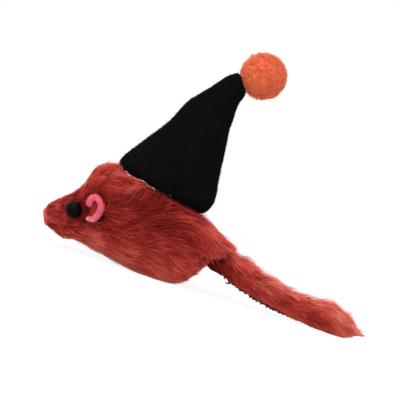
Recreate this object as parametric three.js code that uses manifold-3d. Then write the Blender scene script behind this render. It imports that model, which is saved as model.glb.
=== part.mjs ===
// A furry mouse toy for cats: a dyed fur pelt wrapped round a hollow plastic core that rattles, with
// bead eyes, curled leather ears, a felt party hat with a pompom, and a limp fur strip for a tail.
// Millimetres, +Z up, nose towards -X. The mouse stands on its belly and on the end of its tail, and
// the origin is on that surface, under the middle of the toy.
import * as THREE from "three";
import { mergeVertices } from "three/addons/utils/BufferGeometryUtils.js";
import Module from "manifold-3d";

const wasm = await Module();
wasm.setup();

// Body: the outer face of the fur
const BODY_LENGTH = 57.5; // nose to rump
const BODY_HEIGHT = 31.4; // surface to the crest of fur in front of the hat
const BODY_WIDTH = 28;
const BELLY_FLAT = 0.5; // how much of the belly's roundness is pressed flat where it rests
const SEAM_GAP = 0.5; // between the pelt's two edges, which meet under the belly

// Core and rattle
const CORE_WALL = 1.6;
const LAP_LENGTH = 1.8; // how far one half's lip reaches into the other
const BEAD_DIAMETER = 3.6;
const BEAD_RUN = 6; // how far a bead rolls each way
const LANE_GAP = 1; // between beads that lie side by side

// Face
const EYE_DIAMETER = 5.2;
const EYE_DOME = 1.9; // height of the dome over its rim
const EYE_RIM = 1.8; // thickness of the rim
const EYE_SINK = 1.1; // how deep the rim sits in the fur
const EAR_HEIGHT = 9.9;
const EAR_WIDTH = 6.7;
const EAR_ROLL = 2.4; // thickness of its rolled edge
const EAR_LEATHER = 1.1;
const EAR_STANDOFF = 0.6; // from the fur to the middle of the roll

// Hat
const HAT_HEIGHT = 46.7; // hem to tip, along the hat
const HAT_LENGTH = 32.8; // front to rear, at its widest
const HAT_DEPTH = 20.4; // side to side, at its widest
const HAT_LEAN = THREE.MathUtils.degToRad(18.5); // towards the tail
const HAT_SINK = 2.2; // how deep the hem sits in the fur
const HEM_TILT = THREE.MathUtils.degToRad(8); // how much lower the hem hangs in front than behind
const FELT = 1.3;
const POMPOM_DIAMETER = 14.8;
const POMPOM_SINK = 1.6; // how deep the hat's tip sits in the pompom

// Tail
const TAIL_LENGTH = 51.3; // from its tack to its end
const TAIL_HEIGHT = 10;
const TAIL_WIDTH = 7.8;
const TAIL_FLAT = 0.4; // how much of its roundness is pressed flat where it rests
const TAIL_STANDOFF = 1.6; // from the rump to the middle of the tack
const TACK_THREAD = 0.7; // thickness of the thread tack

const CLEARANCE = 0.3; // between pieces that touch on the real toy
const OVERRUN = 2; // how far a cut runs past what it cuts

// How finely each form is divided
const RING_POINTS = 28;
const RINGS_PER_STATION = 2;
const CORE_RING_POINTS = 20;
const CORE_RINGS_PER_STATION = 1;
const HAT_RING_POINTS = 24;
const HAT_RINGS_PER_STATION = 1.5;
const TAIL_RING_POINTS = 16;
const TAIL_RINGS_PER_STATION = 1.5;
const EAR_RING_POINTS = 10;
const EAR_RINGS_PER_STATION = 2;
const ROUND_POINTS = 18; // round a small turned or ball-shaped piece
const ROUND_RINGS = 12;

// Outline of the fur at stations from nose to rump. Each row holds the place along the body, the
// lowest and highest point, the half width, the squareness of the section, and how far its upper
// half leans forward for its height.
const bodyShares = [
  [0.017, 0.153, 0.312, 0.096, 2.2, -0.4],
  [0.056, 0.156, 0.424, 0.157, 2.2, -0.2],
  [0.113, 0.118, 0.541, 0.211, 2.2, 0],
  [0.165, 0.084, 0.643, 0.261, 2.2, 0],
  [0.212, 0.076, 0.841, 0.318, 2.2, 0],
  [0.27, 0.072, 0.968, 0.368, 2.3, 0],
  [0.348, 0.055, 1.0, 0.425, 2.4, 0],
  [0.47, 0.034, 0.968, 0.482, 2.6, 0],
  [0.609, 0, 0.92, 0.5, 2.7, 0],
  [0.748, 0, 0.828, 0.486, 2.6, 0],
  [0.852, 0.038, 0.748, 0.429, 2.4, 0],
  [0.927, 0.108, 0.72, 0.343, 2.2, 0],
  [0.974, 0.224, 0.65, 0.236, 2.1, 0],
  [0.997, 0.37, 0.567, 0.121, 2, 0],
];
const NOSE_STATION = 0;
const RUMP_STATION = bodyShares.length - 1;
const SEAM_FRONT_SHARE = 0.165; // the seam's ends, along the body
const SEAM_REAR_SHARE = 0.852;

// The core inside the fur. Each row holds the body station, where its lowest and highest points lie
// in the fur's own height there, and its share of the fur's width.
const coreShares = [
  [0.8, 0.31, 0.49, 0.2],
  [1.1, 0.21, 0.6, 0.42],
  [2, 0.153, 0.695, 0.55],
  [3, 0.13, 0.73, 0.61],
  [4, 0.087, 0.635, 0.64],
  [5, 0.07, 0.632, 0.66],
  [6, 0.075, 0.7, 0.67],
  [7, 0.093, 0.793, 0.68],
  [8, 0.109, 0.82, 0.69],
  [9, 0.132, 0.834, 0.68],
  [10, 0.17, 0.794, 0.62],
  [10.8, 0.23, 0.64, 0.45],
  [11.05, 0.34, 0.52, 0.16],
];
const HOLLOW_START_SHARE = 0.084; // along the body, between which the core is hollow
const HOLLOW_END_SHARE = 0.862;

// Outline of the hat. Each row holds the height, the front and rear edge, and the half depth.
const hatShares = [
  [0, -0.467, 0.402, 0.4],
  [0.021, -0.485, 0.439, 0.44],
  [0.043, -0.494, 0.466, 0.47],
  [0.077, -0.497, 0.484, 0.49],
  [0.139, -0.479, 0.491, 0.5],
  [0.21, -0.451, 0.459, 0.47],
  [0.283, -0.415, 0.406, 0.44],
  [0.385, -0.372, 0.34, 0.4],
  [0.439, -0.345, 0.31, 0.375],
  [0.53, -0.334, 0.252, 0.34],
  [0.634, -0.312, 0.187, 0.3],
  [0.782, -0.229, 0.116, 0.235],
  [0.899, -0.165, 0.1, 0.17],
  [0.97, -0.118, 0.085, 0.135],
  [1, -0.066, 0.04, 0.07],
];
const HAT_TOP_SHARE = 0.87; // height of the hollow
const HEM_FADE = 3; // power by which the hem's tilt fades towards the tip
const HAT_PLACE_SHARE = 0.605; // along the body, of the middle of the hem
const POMPOM_SIDE = THREE.MathUtils.degToRad(39.5); // from the hat's rear side up to the pompom

// The tail. Each row holds the place along it, how far it has come down from its tack to the
// surface, and its half height and half width.
const tailShares = [
  [0, 0, 0.188, 0.24],
  [0.045, 0.03, 0.226, 0.27],
  [0.12, 0.06, 0.41, 0.4],
  [0.2, 0.19, 0.49, 0.485],
  [0.33, 0.5, 0.486, 0.5],
  [0.5, 0.79, 0.457, 0.5],
  [0.66, 0.91, 0.475, 0.5],
  [0.78, 0.97, 0.478, 0.5],
  [0.88, 1.03, 0.45, 0.48],
  [0.945, 1.1, 0.3, 0.42],
  [0.985, 1.17, 0.195, 0.27],
  [1, 1.2, 0.07, 0.1],
];
const SEAM_PINCH_SHARE = 0.16; // how much narrower the tail is at its stitched lower edge
const TAIL_PLACE_SHARE = 0.9955; // along the body, where its lower line carries the tack
const TACK_REACH = THREE.MathUtils.degToRad(35); // half the angle that the tack covers

// Where the pieces of the face sit: along the body, and the angle up from the widest line
const EYE_PLACE_SHARE = 0.182;
const EYE_ANGLE = THREE.MathUtils.degToRad(4);
const EYE_SIDEWAYS_SHARE = 0.5; // how far it turns from the fur's own direction to straight sideways
const EAR_PLACE_SHARE = 0.297;
const EAR_ANGLE = THREE.MathUtils.degToRad(-1.8);
const EAR_OPENING = new THREE.Vector3(-0.3, -0.88, -0.32).normalize();

// The ear's rolled edge, like a C that opens forward, from its lobe over the top and down to its foot.
// Each row holds how far the roll's middle lies to the rear of the ear's own middle and above it, and
// the roll's radius.
const earShares = [
  [-0.32, -0.03, 0.14],
  [-0.315, 0.055, 0.48],
  [-0.285, 0.24, 0.58],
  [-0.08, 0.386, 0.48],
  [0.194, 0.285, 0.5],
  [0.287, 0.089, 0.5],
  [0.216, -0.14, 0.5],
  [0.03, -0.359, 0.46],
  [-0.252, -0.391, 0.38],
  [-0.376, -0.38, 0.12],
];

const material = (name, color, roughness) =>
  new THREE.MeshStandardMaterial({ name, color, roughness, metalness: 0 });
const furRed = material("red fur", 0x9c2f2a, 0.95);
const leatherPink = material("pink leather", 0xd8546b, 0.55);
const gloss = material("black bead", 0x0b0b0c, 0.15);
const feltBlack = material("black felt", 0x131213, 1);
const woolOrange = material("orange wool", 0xdc6e48, 1);
const corePlastic = material("core plastic", 0xd9d4c6, 0.5);
const beadPlastic = material("rattle beads", 0xe8e2d2, 0.4);
const threadBrown = material("brown thread", 0x3a1714, 0.8);

// Solids and booleans
const solidOf = (geometry) => {
  const bare = geometry.clone();
  bare.deleteAttribute("normal");
  bare.deleteAttribute("uv");
  const merged = mergeVertices(bare);
  return new wasm.Manifold(
    new wasm.Mesh({
      numProp: 3,
      vertProperties: merged.getAttribute("position").array,
      triVerts: new Uint32Array(merged.index.array),
    }),
  );
};

const geometryOf = (solid) => {
  const mesh = solid.getMesh();
  const geometry = new THREE.BufferGeometry()
    .setAttribute(
      "position",
      new THREE.BufferAttribute(mesh.vertProperties, mesh.numProp),
    )
    .setIndex(new THREE.BufferAttribute(mesh.triVerts, 1));
  geometry.computeVertexNormals();
  return geometry;
};

const node = (name, geometry, finish) => {
  const mesh = new THREE.Mesh(geometry, finish);
  mesh.name = name;
  return mesh;
};

// The space between two corners
const block = (low, high) =>
  solidOf(
    new THREE.BoxGeometry(high.x - low.x, high.y - low.y, high.z - low.z).translate(
      (low.x + high.x) / 2,
      (low.y + high.y) / 2,
      (low.z + high.z) / 2,
    ),
  );

const ball = (radius, centre) =>
  solidOf(
    new THREE.SphereGeometry(radius, ROUND_POINTS, ROUND_RINGS).translate(
      centre.x,
      centre.y,
      centre.z,
    ),
  );

// A closed skin over rings of points, with a flat cap at each end
const loft = (rings) => {
  const count = rings[0].length;
  const middle = (ring) =>
    ring
      .reduce((sum, p) => sum.add(p), new THREE.Vector3())
      .divideScalar(ring.length);
  const points = [...rings.flat(), middle(rings[0]), middle(rings.at(-1))];
  const start = rings.length * count;
  const triangles = [];
  for (let k = 0; k < count; k++) {
    const next = (k + 1) % count;
    for (let i = 0; i + 1 < rings.length; i++) {
      const [a, b] = [i * count + k, i * count + next];
      triangles.push(a, b, a + count, b, b + count, a + count);
    }
    const last = start - count;
    triangles.push(start, next, k, start + 1, last + k, last + next);
  }
  return new THREE.BufferGeometry().setFromPoints(points).setIndex(triangles);
};

// A column of a table of shares as a smooth curve over its stations
const smooth = (table, columns) => {
  const curve = new THREE.CatmullRomCurve3(
    table.map((row) => new THREE.Vector3(...columns.map((c) => row[c] ?? 0))),
    false,
    "catmullrom",
  );
  return (station) => curve.getPoint(station / (table.length - 1));
};

// A rounded section: a circle for squareness 2, and nearer a rectangle above it
const rounded = (angle, power) => {
  const bend = (v) => Math.sign(v) * Math.abs(v) ** (2 / power);
  return [bend(Math.cos(angle)), bend(Math.sin(angle))];
};

const ringAngles = (count) =>
  Array.from({ length: count }, (_, k) => (k / count) * 2 * Math.PI);

const stationsBetween = (first, last, perStation) => {
  const steps = Math.ceil((last - first) * perStation);
  return Array.from({ length: steps + 1 }, (_, i) => first + ((last - first) * i) / steps);
};

// The station between two others at which a rising value reaches a target
const HALVINGS = 24;
const stationWhere = (valueAt, target, first, last) => {
  let [low, high] = [first, last];
  for (let i = 0; i < HALVINGS; i++) {
    const middle = (low + high) / 2;
    if (valueAt(middle) < target) low = middle;
    else high = middle;
  }
  return low;
};

// Body
const bodySide = smooth(bodyShares, [0, 1, 2]);
const bodyPlan = smooth(bodyShares, [3, 4, 5]);

const bodySection = (station) => {
  const side = bodySide(station);
  const plan = bodyPlan(station);
  const flat = BELLY_FLAT * (1 - side.y); // the whole outline drops a little, to be cut flat
  return {
    x: side.x * BODY_LENGTH,
    low: side.y * BODY_HEIGHT - flat,
    high: side.z * BODY_HEIGHT,
    half: plan.x * BODY_WIDTH,
    power: plan.y,
    lean: plan.z,
  };
};

// The station at a share of the body's length
const stationAt = (share) =>
  stationWhere((s) => bodySection(s).x, share * BODY_LENGTH, NOSE_STATION, RUMP_STATION);

const sectionPoint = (s, angle) => {
  const [across, up] = rounded(angle, s.power);
  const rise = ((s.high - s.low) / 2) * up;
  return new THREE.Vector3(s.x + s.lean * rise, s.half * across, (s.low + s.high) / 2 + rise);
};

const bodyPoint = (station, angle) => sectionPoint(bodySection(station), angle);

// The outward direction of the fur's face at a station and an angle
const NORMAL_STEP = 0.02; // of a station, and of a radian
const bodyNormal = (station, angle) => {
  const [back, on] = [-NORMAL_STEP, NORMAL_STEP];
  const along = bodyPoint(station + on, angle).sub(bodyPoint(station + back, angle));
  const round = bodyPoint(station, angle + on).sub(bodyPoint(station, angle + back));
  return round.cross(along).normalize();
};

const bodyOutline = () =>
  solidOf(
    loft(
      stationsBetween(NOSE_STATION, RUMP_STATION, RINGS_PER_STATION).map((station) =>
        ringAngles(RING_POINTS).map((angle) => bodyPoint(station, angle)),
      ),
    ),
  );

// Core
const CORE_END = coreShares.length - 1;
const coreStation = smooth(coreShares, [0]);
const coreHeights = smooth(coreShares, [1, 2, 3]);

const coreSection = (row, grow) => {
  const body = bodySection(coreStation(row).x);
  const share = coreHeights(row);
  const height = body.high - body.low;
  return {
    ...body,
    low: body.low + share.x * height - grow,
    high: body.low + share.y * height + grow,
    half: share.z * body.half + grow,
    lean: 0,
  };
};

// The core's outside, grown or shrunk by one distance all round
const coreForm = (grow, first = 0, last = CORE_END) => {
  const rows = stationsBetween(first, last, CORE_RINGS_PER_STATION);
  return solidOf(
    loft(
      rows.map((row, i) => {
        const s = coreSection(row, grow);
        if (i === 0) s.x -= Math.max(grow, 0);
        if (i === rows.length - 1) s.x += Math.max(grow, 0);
        return ringAngles(CORE_RING_POINTS).map((angle) => sectionPoint(s, angle));
      }),
    ),
  );
};

// A slab of the body between two distances to the side
const slab = (from, to, front = -OVERRUN, rear = BODY_LENGTH + OVERRUN) =>
  block(
    new THREE.Vector3(front, from, -OVERRUN),
    new THREE.Vector3(rear, to, BODY_HEIGHT + OVERRUN),
  );

const coreRowAt = (share) =>
  stationWhere((row) => coreSection(row, 0).x, share * BODY_LENGTH, 0, CORE_END);
const HOLLOW_START = coreRowAt(HOLLOW_START_SHARE);
const HOLLOW_END = coreRowAt(HOLLOW_END_SHARE);

// Two moulded halves: the left one's lip fits inside the right one's thinned edge
const coreHalves = () => {
  const lipFront = coreSection(HOLLOW_START, 0).x + CLEARANCE;
  const lipRear = coreSection(HOLLOW_END, 0).x - CLEARANCE;
  const hollow = coreForm(-CORE_WALL, HOLLOW_START, HOLLOW_END);
  const shell = coreForm(0).subtract(hollow);
  const fit = CLEARANCE / 2;
  const lip = coreForm(-CORE_WALL / 2 - fit, HOLLOW_START, HOLLOW_END)
    .subtract(hollow)
    .intersect(slab(-LAP_LENGTH, LAP_LENGTH, lipFront, lipRear));
  const rebate = coreForm(-CORE_WALL / 2 + fit, HOLLOW_START, HOLLOW_END).intersect(
    slab(-LAP_LENGTH, LAP_LENGTH + CLEARANCE),
  );
  return {
    left: shell.intersect(slab(-BODY_WIDTH, -fit)).add(lip),
    right: shell.intersect(slab(fit, BODY_WIDTH)).subtract(rebate),
  };
};

// Height of the hollow's floor in the core at a place
const coreFloor = (x, y) => {
  const row = stationWhere((r) => coreSection(r, 0).x, x, HOLLOW_START, HOLLOW_END);
  const s = coreSection(row, -CORE_WALL);
  const across = Math.min(Math.abs(y) / s.half, 1);
  const drop = ((s.high - s.low) / 2) * (1 - across ** s.power) ** (1 / s.power);
  return (s.low + s.high) / 2 - drop;
};

// A bead's height where it clears the floor by the clearance over its whole run
const runShares = [-1, -0.5, 0, 0.5, 1];
const beadShares = [0, 0.3, 0.6, 0.8, 0.95]; // out from the bead's middle, of its radius
const beadHeight = (x, y) => {
  const radius = BEAD_DIAMETER / 2;
  let height = 0;
  for (const run of runShares)
    for (const out of beadShares)
      for (const angle of ringAngles(ROUND_RINGS)) {
        const [dx, dy] = [out * Math.cos(angle), out * Math.sin(angle)];
        const floor = coreFloor(x + run * BEAD_RUN + dx * radius, y + dy * radius);
        height = Math.max(height, floor + radius * Math.sqrt(1 - out * out));
      }
  return height + CLEARANCE;
};

// Eye: a glued dome, made along its own axis with its rim's back at 0
const EYE_FLARE_SHARE = 0.9; // of the radius, at the back of the rim
const eyeForm = (grow) => {
  const radius = EYE_DIAMETER / 2 + grow;
  const dome = new THREE.EllipseCurve(0, EYE_RIM, radius, EYE_DOME + grow, 0, Math.PI / 2);
  const profile = [
    new THREE.Vector2(0, -grow),
    new THREE.Vector2(radius * EYE_FLARE_SHARE, -grow),
    ...dome.getPoints(ROUND_RINGS / 2),
  ];
  profile.at(-1).x = 0;
  return new THREE.LatheGeometry(profile, ROUND_POINTS);
};

// Ear: a leather petal whose edge is rolled inwards round a shallow hollow. It is drawn flat, facing
// +Z with its top towards +Y, and then turned to face its opening.
const earPath = smooth(earShares, [0, 1]);
const earThickness = smooth(earShares, [2]);
const earMiddle = (station) =>
  earPath(station).multiply(new THREE.Vector3(EAR_WIDTH, EAR_HEIGHT, 0));

const earRoll = (grow) => {
  const last = earShares.length - 1;
  const rings = stationsBetween(0, last, EAR_RINGS_PER_STATION).map((station) => {
    const [before, after] = [Math.max(station - NORMAL_STEP, 0), Math.min(station + NORMAL_STEP, last)];
    const along = earMiddle(after).sub(earMiddle(before)).normalize();
    const side = new THREE.Vector3(-along.y, along.x, 0);
    const radius = earThickness(station).x * EAR_ROLL + grow;
    return ringAngles(EAR_RING_POINTS).map((angle) =>
      earMiddle(station)
        .addScaledVector(side, radius * Math.cos(angle))
        .add(new THREE.Vector3(0, 0, radius * Math.sin(angle))),
    );
  });
  return solidOf(loft(rings));
};

const EAR_FLOOR_SHARE = new THREE.Vector3(0.34, 0.39, 0.5); // half sizes of the hollow's floor
const EAR_FLOOR_FORWARD_SHARE = 0.04; // how far it lies forward of the ear's middle
const earForm = (grow) => {
  const floor = new THREE.SphereGeometry(1, ROUND_POINTS, ROUND_RINGS)
    .scale(
      EAR_FLOOR_SHARE.x * EAR_WIDTH + grow,
      EAR_FLOOR_SHARE.y * EAR_HEIGHT + grow,
      EAR_FLOOR_SHARE.z * EAR_LEATHER + grow,
    )
    .translate(-EAR_FLOOR_FORWARD_SHARE * EAR_WIDTH, 0, (EAR_LEATHER - EAR_ROLL) / 2);
  const rear = new THREE.Vector3(0, 0, 1).cross(EAR_OPENING).normalize();
  const up = EAR_OPENING.clone().cross(rear);
  const turn = new THREE.Matrix4().makeBasis(rear, up, EAR_OPENING);
  return earRoll(grow).add(solidOf(floor)).transform(turn.elements);
};

// Hat
const hatSide = smooth(hatShares, [0, 1, 2]);
const hatDepth = smooth(hatShares, [3]);
const HAT_END = hatShares.length - 1;

// The hat's outside, grown or shrunk by one distance all round. A shrunk one runs out under the hem.
const hatForm = (grow, top = HAT_HEIGHT) => {
  const below = grow < 0 ? OVERRUN : grow;
  const rings = stationsBetween(0, HAT_END, HAT_RINGS_PER_STATION)
    .map((station) => {
      const side = hatSide(station);
      const [front, rear] = [side.y * HAT_LENGTH - grow, side.z * HAT_LENGTH + grow];
      const half = hatDepth(station).x * HAT_DEPTH + grow;
      return { height: side.x * HAT_HEIGHT, front, rear, half };
    })
    .filter((s) => s.height <= top)
    .map((s, i) =>
      ringAngles(HAT_RING_POINTS).map((angle) => {
        const [along, across] = [Math.cos(angle), Math.sin(angle)];
        const x = (s.front + s.rear) / 2 + ((s.rear - s.front) / 2) * along;
        const tilt = Math.tan(HEM_TILT) * (1 - s.height / HAT_HEIGHT) ** HEM_FADE;
        return new THREE.Vector3(x, s.half * across, s.height + tilt * x - (i === 0 ? below : 0));
      }),
    );
  return solidOf(loft(rings));
};

const pompomRadius = POMPOM_DIAMETER / 2;
const pompomCentre = new THREE.Vector3(
  (pompomRadius - POMPOM_SINK) * Math.cos(POMPOM_SIDE),
  0,
  HAT_HEIGHT + (pompomRadius - POMPOM_SINK) * Math.sin(POMPOM_SIDE),
);

// The felt wall on its own, grown by one distance all round
const hatWall = (grow) =>
  hatForm(grow).subtract(hatForm(-FELT - grow, HAT_TOP_SHARE * HAT_HEIGHT));

// Where the hat stands on the body
const hatPlace = (() => {
  const x = HAT_PLACE_SHARE * BODY_LENGTH;
  const crest = bodySection(stationAt(HAT_PLACE_SHARE)).high;
  return new THREE.Matrix4().makeRotationY(HAT_LEAN).setPosition(x, 0, crest - HAT_SINK);
})();

// Tail
const tailSide = smooth(tailShares, [0, 1]);
const tailSize = smooth(tailShares, [2, 3]);

const UNDERSIDE = -Math.PI / 2; // the angle of the body's lower line
const tailStation = stationAt(TAIL_PLACE_SHARE);
const tailPivot = bodyPoint(tailStation, UNDERSIDE).addScaledVector(
  bodyNormal(tailStation, UNDERSIDE),
  TAIL_STANDOFF,
);
const rootRadius = tailShares[0][2] * TAIL_HEIGHT;

const tailForm = () => {
  const restHeight = TAIL_HEIGHT / 2 - TAIL_FLAT;
  const centre = (station) => {
    const side = tailSide(station);
    return new THREE.Vector3(
      tailPivot.x + side.x * TAIL_LENGTH,
      0,
      THREE.MathUtils.lerp(tailPivot.z, restHeight, side.y),
    );
  };
  const stations = stationsBetween(0, tailShares.length - 1, TAIL_RINGS_PER_STATION);
  const rings = stations.map((station) => {
    const size = tailSize(station);
    return ringAngles(TAIL_RING_POINTS).map((angle) => {
      const [across, up] = [Math.cos(angle), Math.sin(angle)];
      const narrow = 1 + SEAM_PINCH_SHARE * up;
      return centre(station).add(
        new THREE.Vector3(0, size.y * TAIL_WIDTH * across * narrow, size.x * TAIL_HEIGHT * up),
      );
    });
  });
  return solidOf(loft(rings)).add(ball(rootRadius, tailPivot));
};

// The thread tack between the rump and the tail's round root
const tackForm = () => {
  const inner = rootRadius + CLEARANCE;
  const outer = inner + TACK_THREAD;
  const arc = (radius) => {
    const curve = new THREE.EllipseCurve(0, 0, radius, radius, Math.PI / 2 - TACK_REACH, Math.PI / 2);
    const points = curve.getPoints(ROUND_RINGS / 3);
    points.at(-1).x = 0; // on the axis
    return points;
  };
  const outside = arc(outer);
  const profile = [...outside, ...arc(inner).reverse(), outside[0].clone()];
  return new THREE.LatheGeometry(profile, ROUND_POINTS);
};

// Assembly
const toy = new THREE.Group();
toy.name = "mouse_toy";

const pelt = () => {
  const above = block(
    new THREE.Vector3(-OVERRUN, -BODY_WIDTH, 0),
    new THREE.Vector3(BODY_LENGTH + OVERRUN, BODY_WIDTH, BODY_HEIGHT + OVERRUN),
  );
  const seamTop = coreSection(1, 0).high;
  const seam = block(
    new THREE.Vector3(SEAM_FRONT_SHARE * BODY_LENGTH, -SEAM_GAP / 2, -OVERRUN),
    new THREE.Vector3(SEAM_REAR_SHARE * BODY_LENGTH, SEAM_GAP / 2, seamTop),
  );
  const socket = rootRadius + CLEARANCE + TACK_THREAD + CLEARANCE;
  return bodyOutline()
    .intersect(above)
    .subtract(coreForm(CLEARANCE))
    .subtract(seam)
    .subtract(ball(socket, tailPivot))
    .subtract(hatWall(CLEARANCE).transform(hatPlace.elements));
};

// Pieces that come in a left and a right one, and the pockets that they sit in
let cover = pelt();
for (const [side, angleOf] of [
  ["left", (a) => Math.PI - a],
  ["right", (a) => a],
]) {
  const out = side === "left" ? -1 : 1;

  const eyeStation = stationAt(EYE_PLACE_SHARE);
  const eyeAt = bodyPoint(eyeStation, angleOf(EYE_ANGLE));
  const eyeOut = bodyNormal(eyeStation, angleOf(EYE_ANGLE))
    .lerp(new THREE.Vector3(0, out, 0), EYE_SIDEWAYS_SHARE)
    .normalize();
  const eyeTurn = new THREE.Quaternion().setFromUnitVectors(new THREE.Vector3(0, 1, 0), eyeOut);
  const eye = node(`eye_${side}`, eyeForm(0), gloss);
  eye.quaternion.copy(eyeTurn);
  eye.position.copy(eyeAt).addScaledVector(eyeOut, -EYE_SINK);
  eye.updateMatrix();
  cover = cover.subtract(solidOf(eyeForm(CLEARANCE).applyMatrix4(eye.matrix)));
  toy.add(eye);

  const ear = node(`ear_${side}`, geometryOf(earForm(0)), leatherPink);
  const earFoot = bodyPoint(stationAt(EAR_PLACE_SHARE), angleOf(EAR_ANGLE));
  ear.position.set(earFoot.x, earFoot.y + out * EAR_STANDOFF, earFoot.z);
  ear.scale.y = -out;
  ear.updateMatrix();
  cover = cover.subtract(earForm(CLEARANCE).hull().transform(ear.matrix.elements));
  toy.add(ear);
}
toy.add(node("body_pelt", geometryOf(cover), furRed));

const halves = coreHalves();
toy.add(node("core_shell_left", geometryOf(halves.left), corePlastic));
toy.add(node("core_shell_right", geometryOf(halves.right), corePlastic));

const BEAD_PLACE_SHARE = 0.62; // along the body
const lane = BEAD_DIAMETER + LANE_GAP;
[-lane, 0, lane].forEach((y, i) => {
  const x = BEAD_PLACE_SHARE * BODY_LENGTH;
  const bead = node(
    `rattle_bead_${i + 1}`,
    new THREE.SphereGeometry(BEAD_DIAMETER / 2, ROUND_RINGS, ROUND_RINGS / 2),
    beadPlastic,
  );
  bead.position.set(x, y, beadHeight(x, y));
  toy.add(bead);
});

const hat = new THREE.Group();
hat.applyMatrix4(hatPlace);
hat.add(
  node(
    "hat_cone",
    geometryOf(hatWall(0).subtract(ball(pompomRadius + CLEARANCE, pompomCentre))),
    feltBlack,
  ),
);
const pompomShape = new THREE.SphereGeometry(pompomRadius, ROUND_POINTS, ROUND_RINGS);
const pompom = node("hat_pompom", pompomShape, woolOrange);
pompom.position.copy(pompomCentre);
hat.add(pompom);
toy.add(hat);

const tack = node("tail_tack_thread", tackForm(), threadBrown);
tack.position.copy(tailPivot);
tack.rotation.z = Math.PI / 2;
toy.add(tack);

const tailAbove = block(
  new THREE.Vector3(tailPivot.x - TAIL_LENGTH, -TAIL_WIDTH, 0),
  new THREE.Vector3(tailPivot.x + TAIL_LENGTH + OVERRUN, TAIL_WIDTH, BODY_HEIGHT),
);
toy.add(node("tail_strip", geometryOf(tailForm().intersect(tailAbove)), furRed));

// The origin goes under the middle of the whole toy, nose to tail
const reach = new THREE.Box3().setFromObject(toy, true);
toy.position.x = -(reach.min.x + reach.max.x) / 2;

export default toy;
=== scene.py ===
# %% [markdown]
# A small fur mouse in a felt party hat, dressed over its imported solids. The solids give every piece
# its place and size. Here they get what they lack: pile, nap, curled leather, thread and a polish.
# The pile is real geometry, thin tapered tubes, so the silhouette is soft from any side.

# %% Load the frame
import math

import bmesh
import bpy
import numpy as np
from mathutils import Matrix, Vector, noise
from mathutils.bvhtree import BVHTree
from mathutils.kdtree import KDTree


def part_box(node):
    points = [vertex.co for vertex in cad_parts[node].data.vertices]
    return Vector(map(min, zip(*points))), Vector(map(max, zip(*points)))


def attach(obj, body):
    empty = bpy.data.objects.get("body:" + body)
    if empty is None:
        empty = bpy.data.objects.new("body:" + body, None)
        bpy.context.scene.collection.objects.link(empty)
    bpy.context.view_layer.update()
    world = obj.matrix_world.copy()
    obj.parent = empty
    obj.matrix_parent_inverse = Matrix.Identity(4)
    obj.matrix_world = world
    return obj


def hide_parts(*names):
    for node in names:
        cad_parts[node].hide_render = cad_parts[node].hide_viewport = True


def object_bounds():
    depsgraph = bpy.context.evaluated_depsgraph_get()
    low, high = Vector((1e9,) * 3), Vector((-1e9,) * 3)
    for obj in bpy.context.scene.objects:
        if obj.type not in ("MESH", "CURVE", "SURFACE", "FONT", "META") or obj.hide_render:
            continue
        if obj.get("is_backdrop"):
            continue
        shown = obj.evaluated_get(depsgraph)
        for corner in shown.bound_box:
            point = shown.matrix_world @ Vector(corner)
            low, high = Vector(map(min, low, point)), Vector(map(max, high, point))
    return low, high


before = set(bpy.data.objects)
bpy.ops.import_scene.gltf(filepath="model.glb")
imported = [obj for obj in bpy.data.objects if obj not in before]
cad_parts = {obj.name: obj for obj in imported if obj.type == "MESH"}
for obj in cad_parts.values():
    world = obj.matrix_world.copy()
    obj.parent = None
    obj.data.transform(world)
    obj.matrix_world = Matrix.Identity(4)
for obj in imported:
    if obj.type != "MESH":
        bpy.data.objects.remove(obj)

MM = 0.001
cad_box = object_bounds()
boxes = {name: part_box(name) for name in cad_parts}
print("solids' box in mm", [[round(c / MM, 1) for c in corner] for corner in cad_box])

# %% [markdown]
# The camera looks square at the mouse's left side through a long lens, so nothing looks swollen by
# nearness. The picture is tilted: the nose points up and to the left, so the camera rolls about its
# line of sight. The middle and the width of the picture are real distances at the mouse's middle.

# %% Camera
ROLL = math.radians(18)
PICTURE_MIDDLE = Vector((-7.2, 0, 28.4)) * MM
PICTURE_WIDTH = 130.4 * MM
LENS = 110
SENSOR = 36


def add(name, data):
    """Puts data in the scene as an object."""
    made = bpy.data.objects.new(name, data)
    bpy.context.scene.collection.objects.link(made)
    return made


camera = add("camera", bpy.data.cameras.new("camera"))
camera.data.lens = LENS
camera.data.sensor_width = SENSOR
camera.data.clip_start = 10 * MM
camera.data.clip_end = 100
across = Vector((math.cos(ROLL), 0, math.sin(ROLL)))
up = Vector((-math.sin(ROLL), 0, math.cos(ROLL)))
back = Vector((0, -1, 0))
turn = Matrix((across, up, back)).transposed().to_4x4()
distance = PICTURE_WIDTH * LENS / SENSOR
camera.matrix_world = Matrix.Translation(PICTURE_MIDDLE + back * distance) @ turn
bpy.context.scene.camera = camera
print("camera stands", round(distance / MM), "mm away")

# %% [markdown]
# Shader maths reads best as sums. One small class wraps a socket, and its operators add Math nodes.
# Every other node comes from one method that takes its type, its settings and its inputs.


# %% Shader maths
class Value:
    """What a node gives. Sums and products of it add Math nodes."""

    def __init__(self, shader, socket):
        self.shader, self.socket = shader, socket

    def join(self, operation, a, b):
        return self.shader.node("ShaderNodeMath", {"operation": operation}, {0: a, 1: b})

    def __add__(self, other):
        return self.join("ADD", self, other)

    def __mul__(self, other):
        return self.join("MULTIPLY", self, other)

    def __sub__(self, other):
        return self.join("SUBTRACT", self, other)

    def __rsub__(self, other):
        return self.join("SUBTRACT", other, self)

    __radd__, __rmul__ = __add__, __mul__


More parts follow.
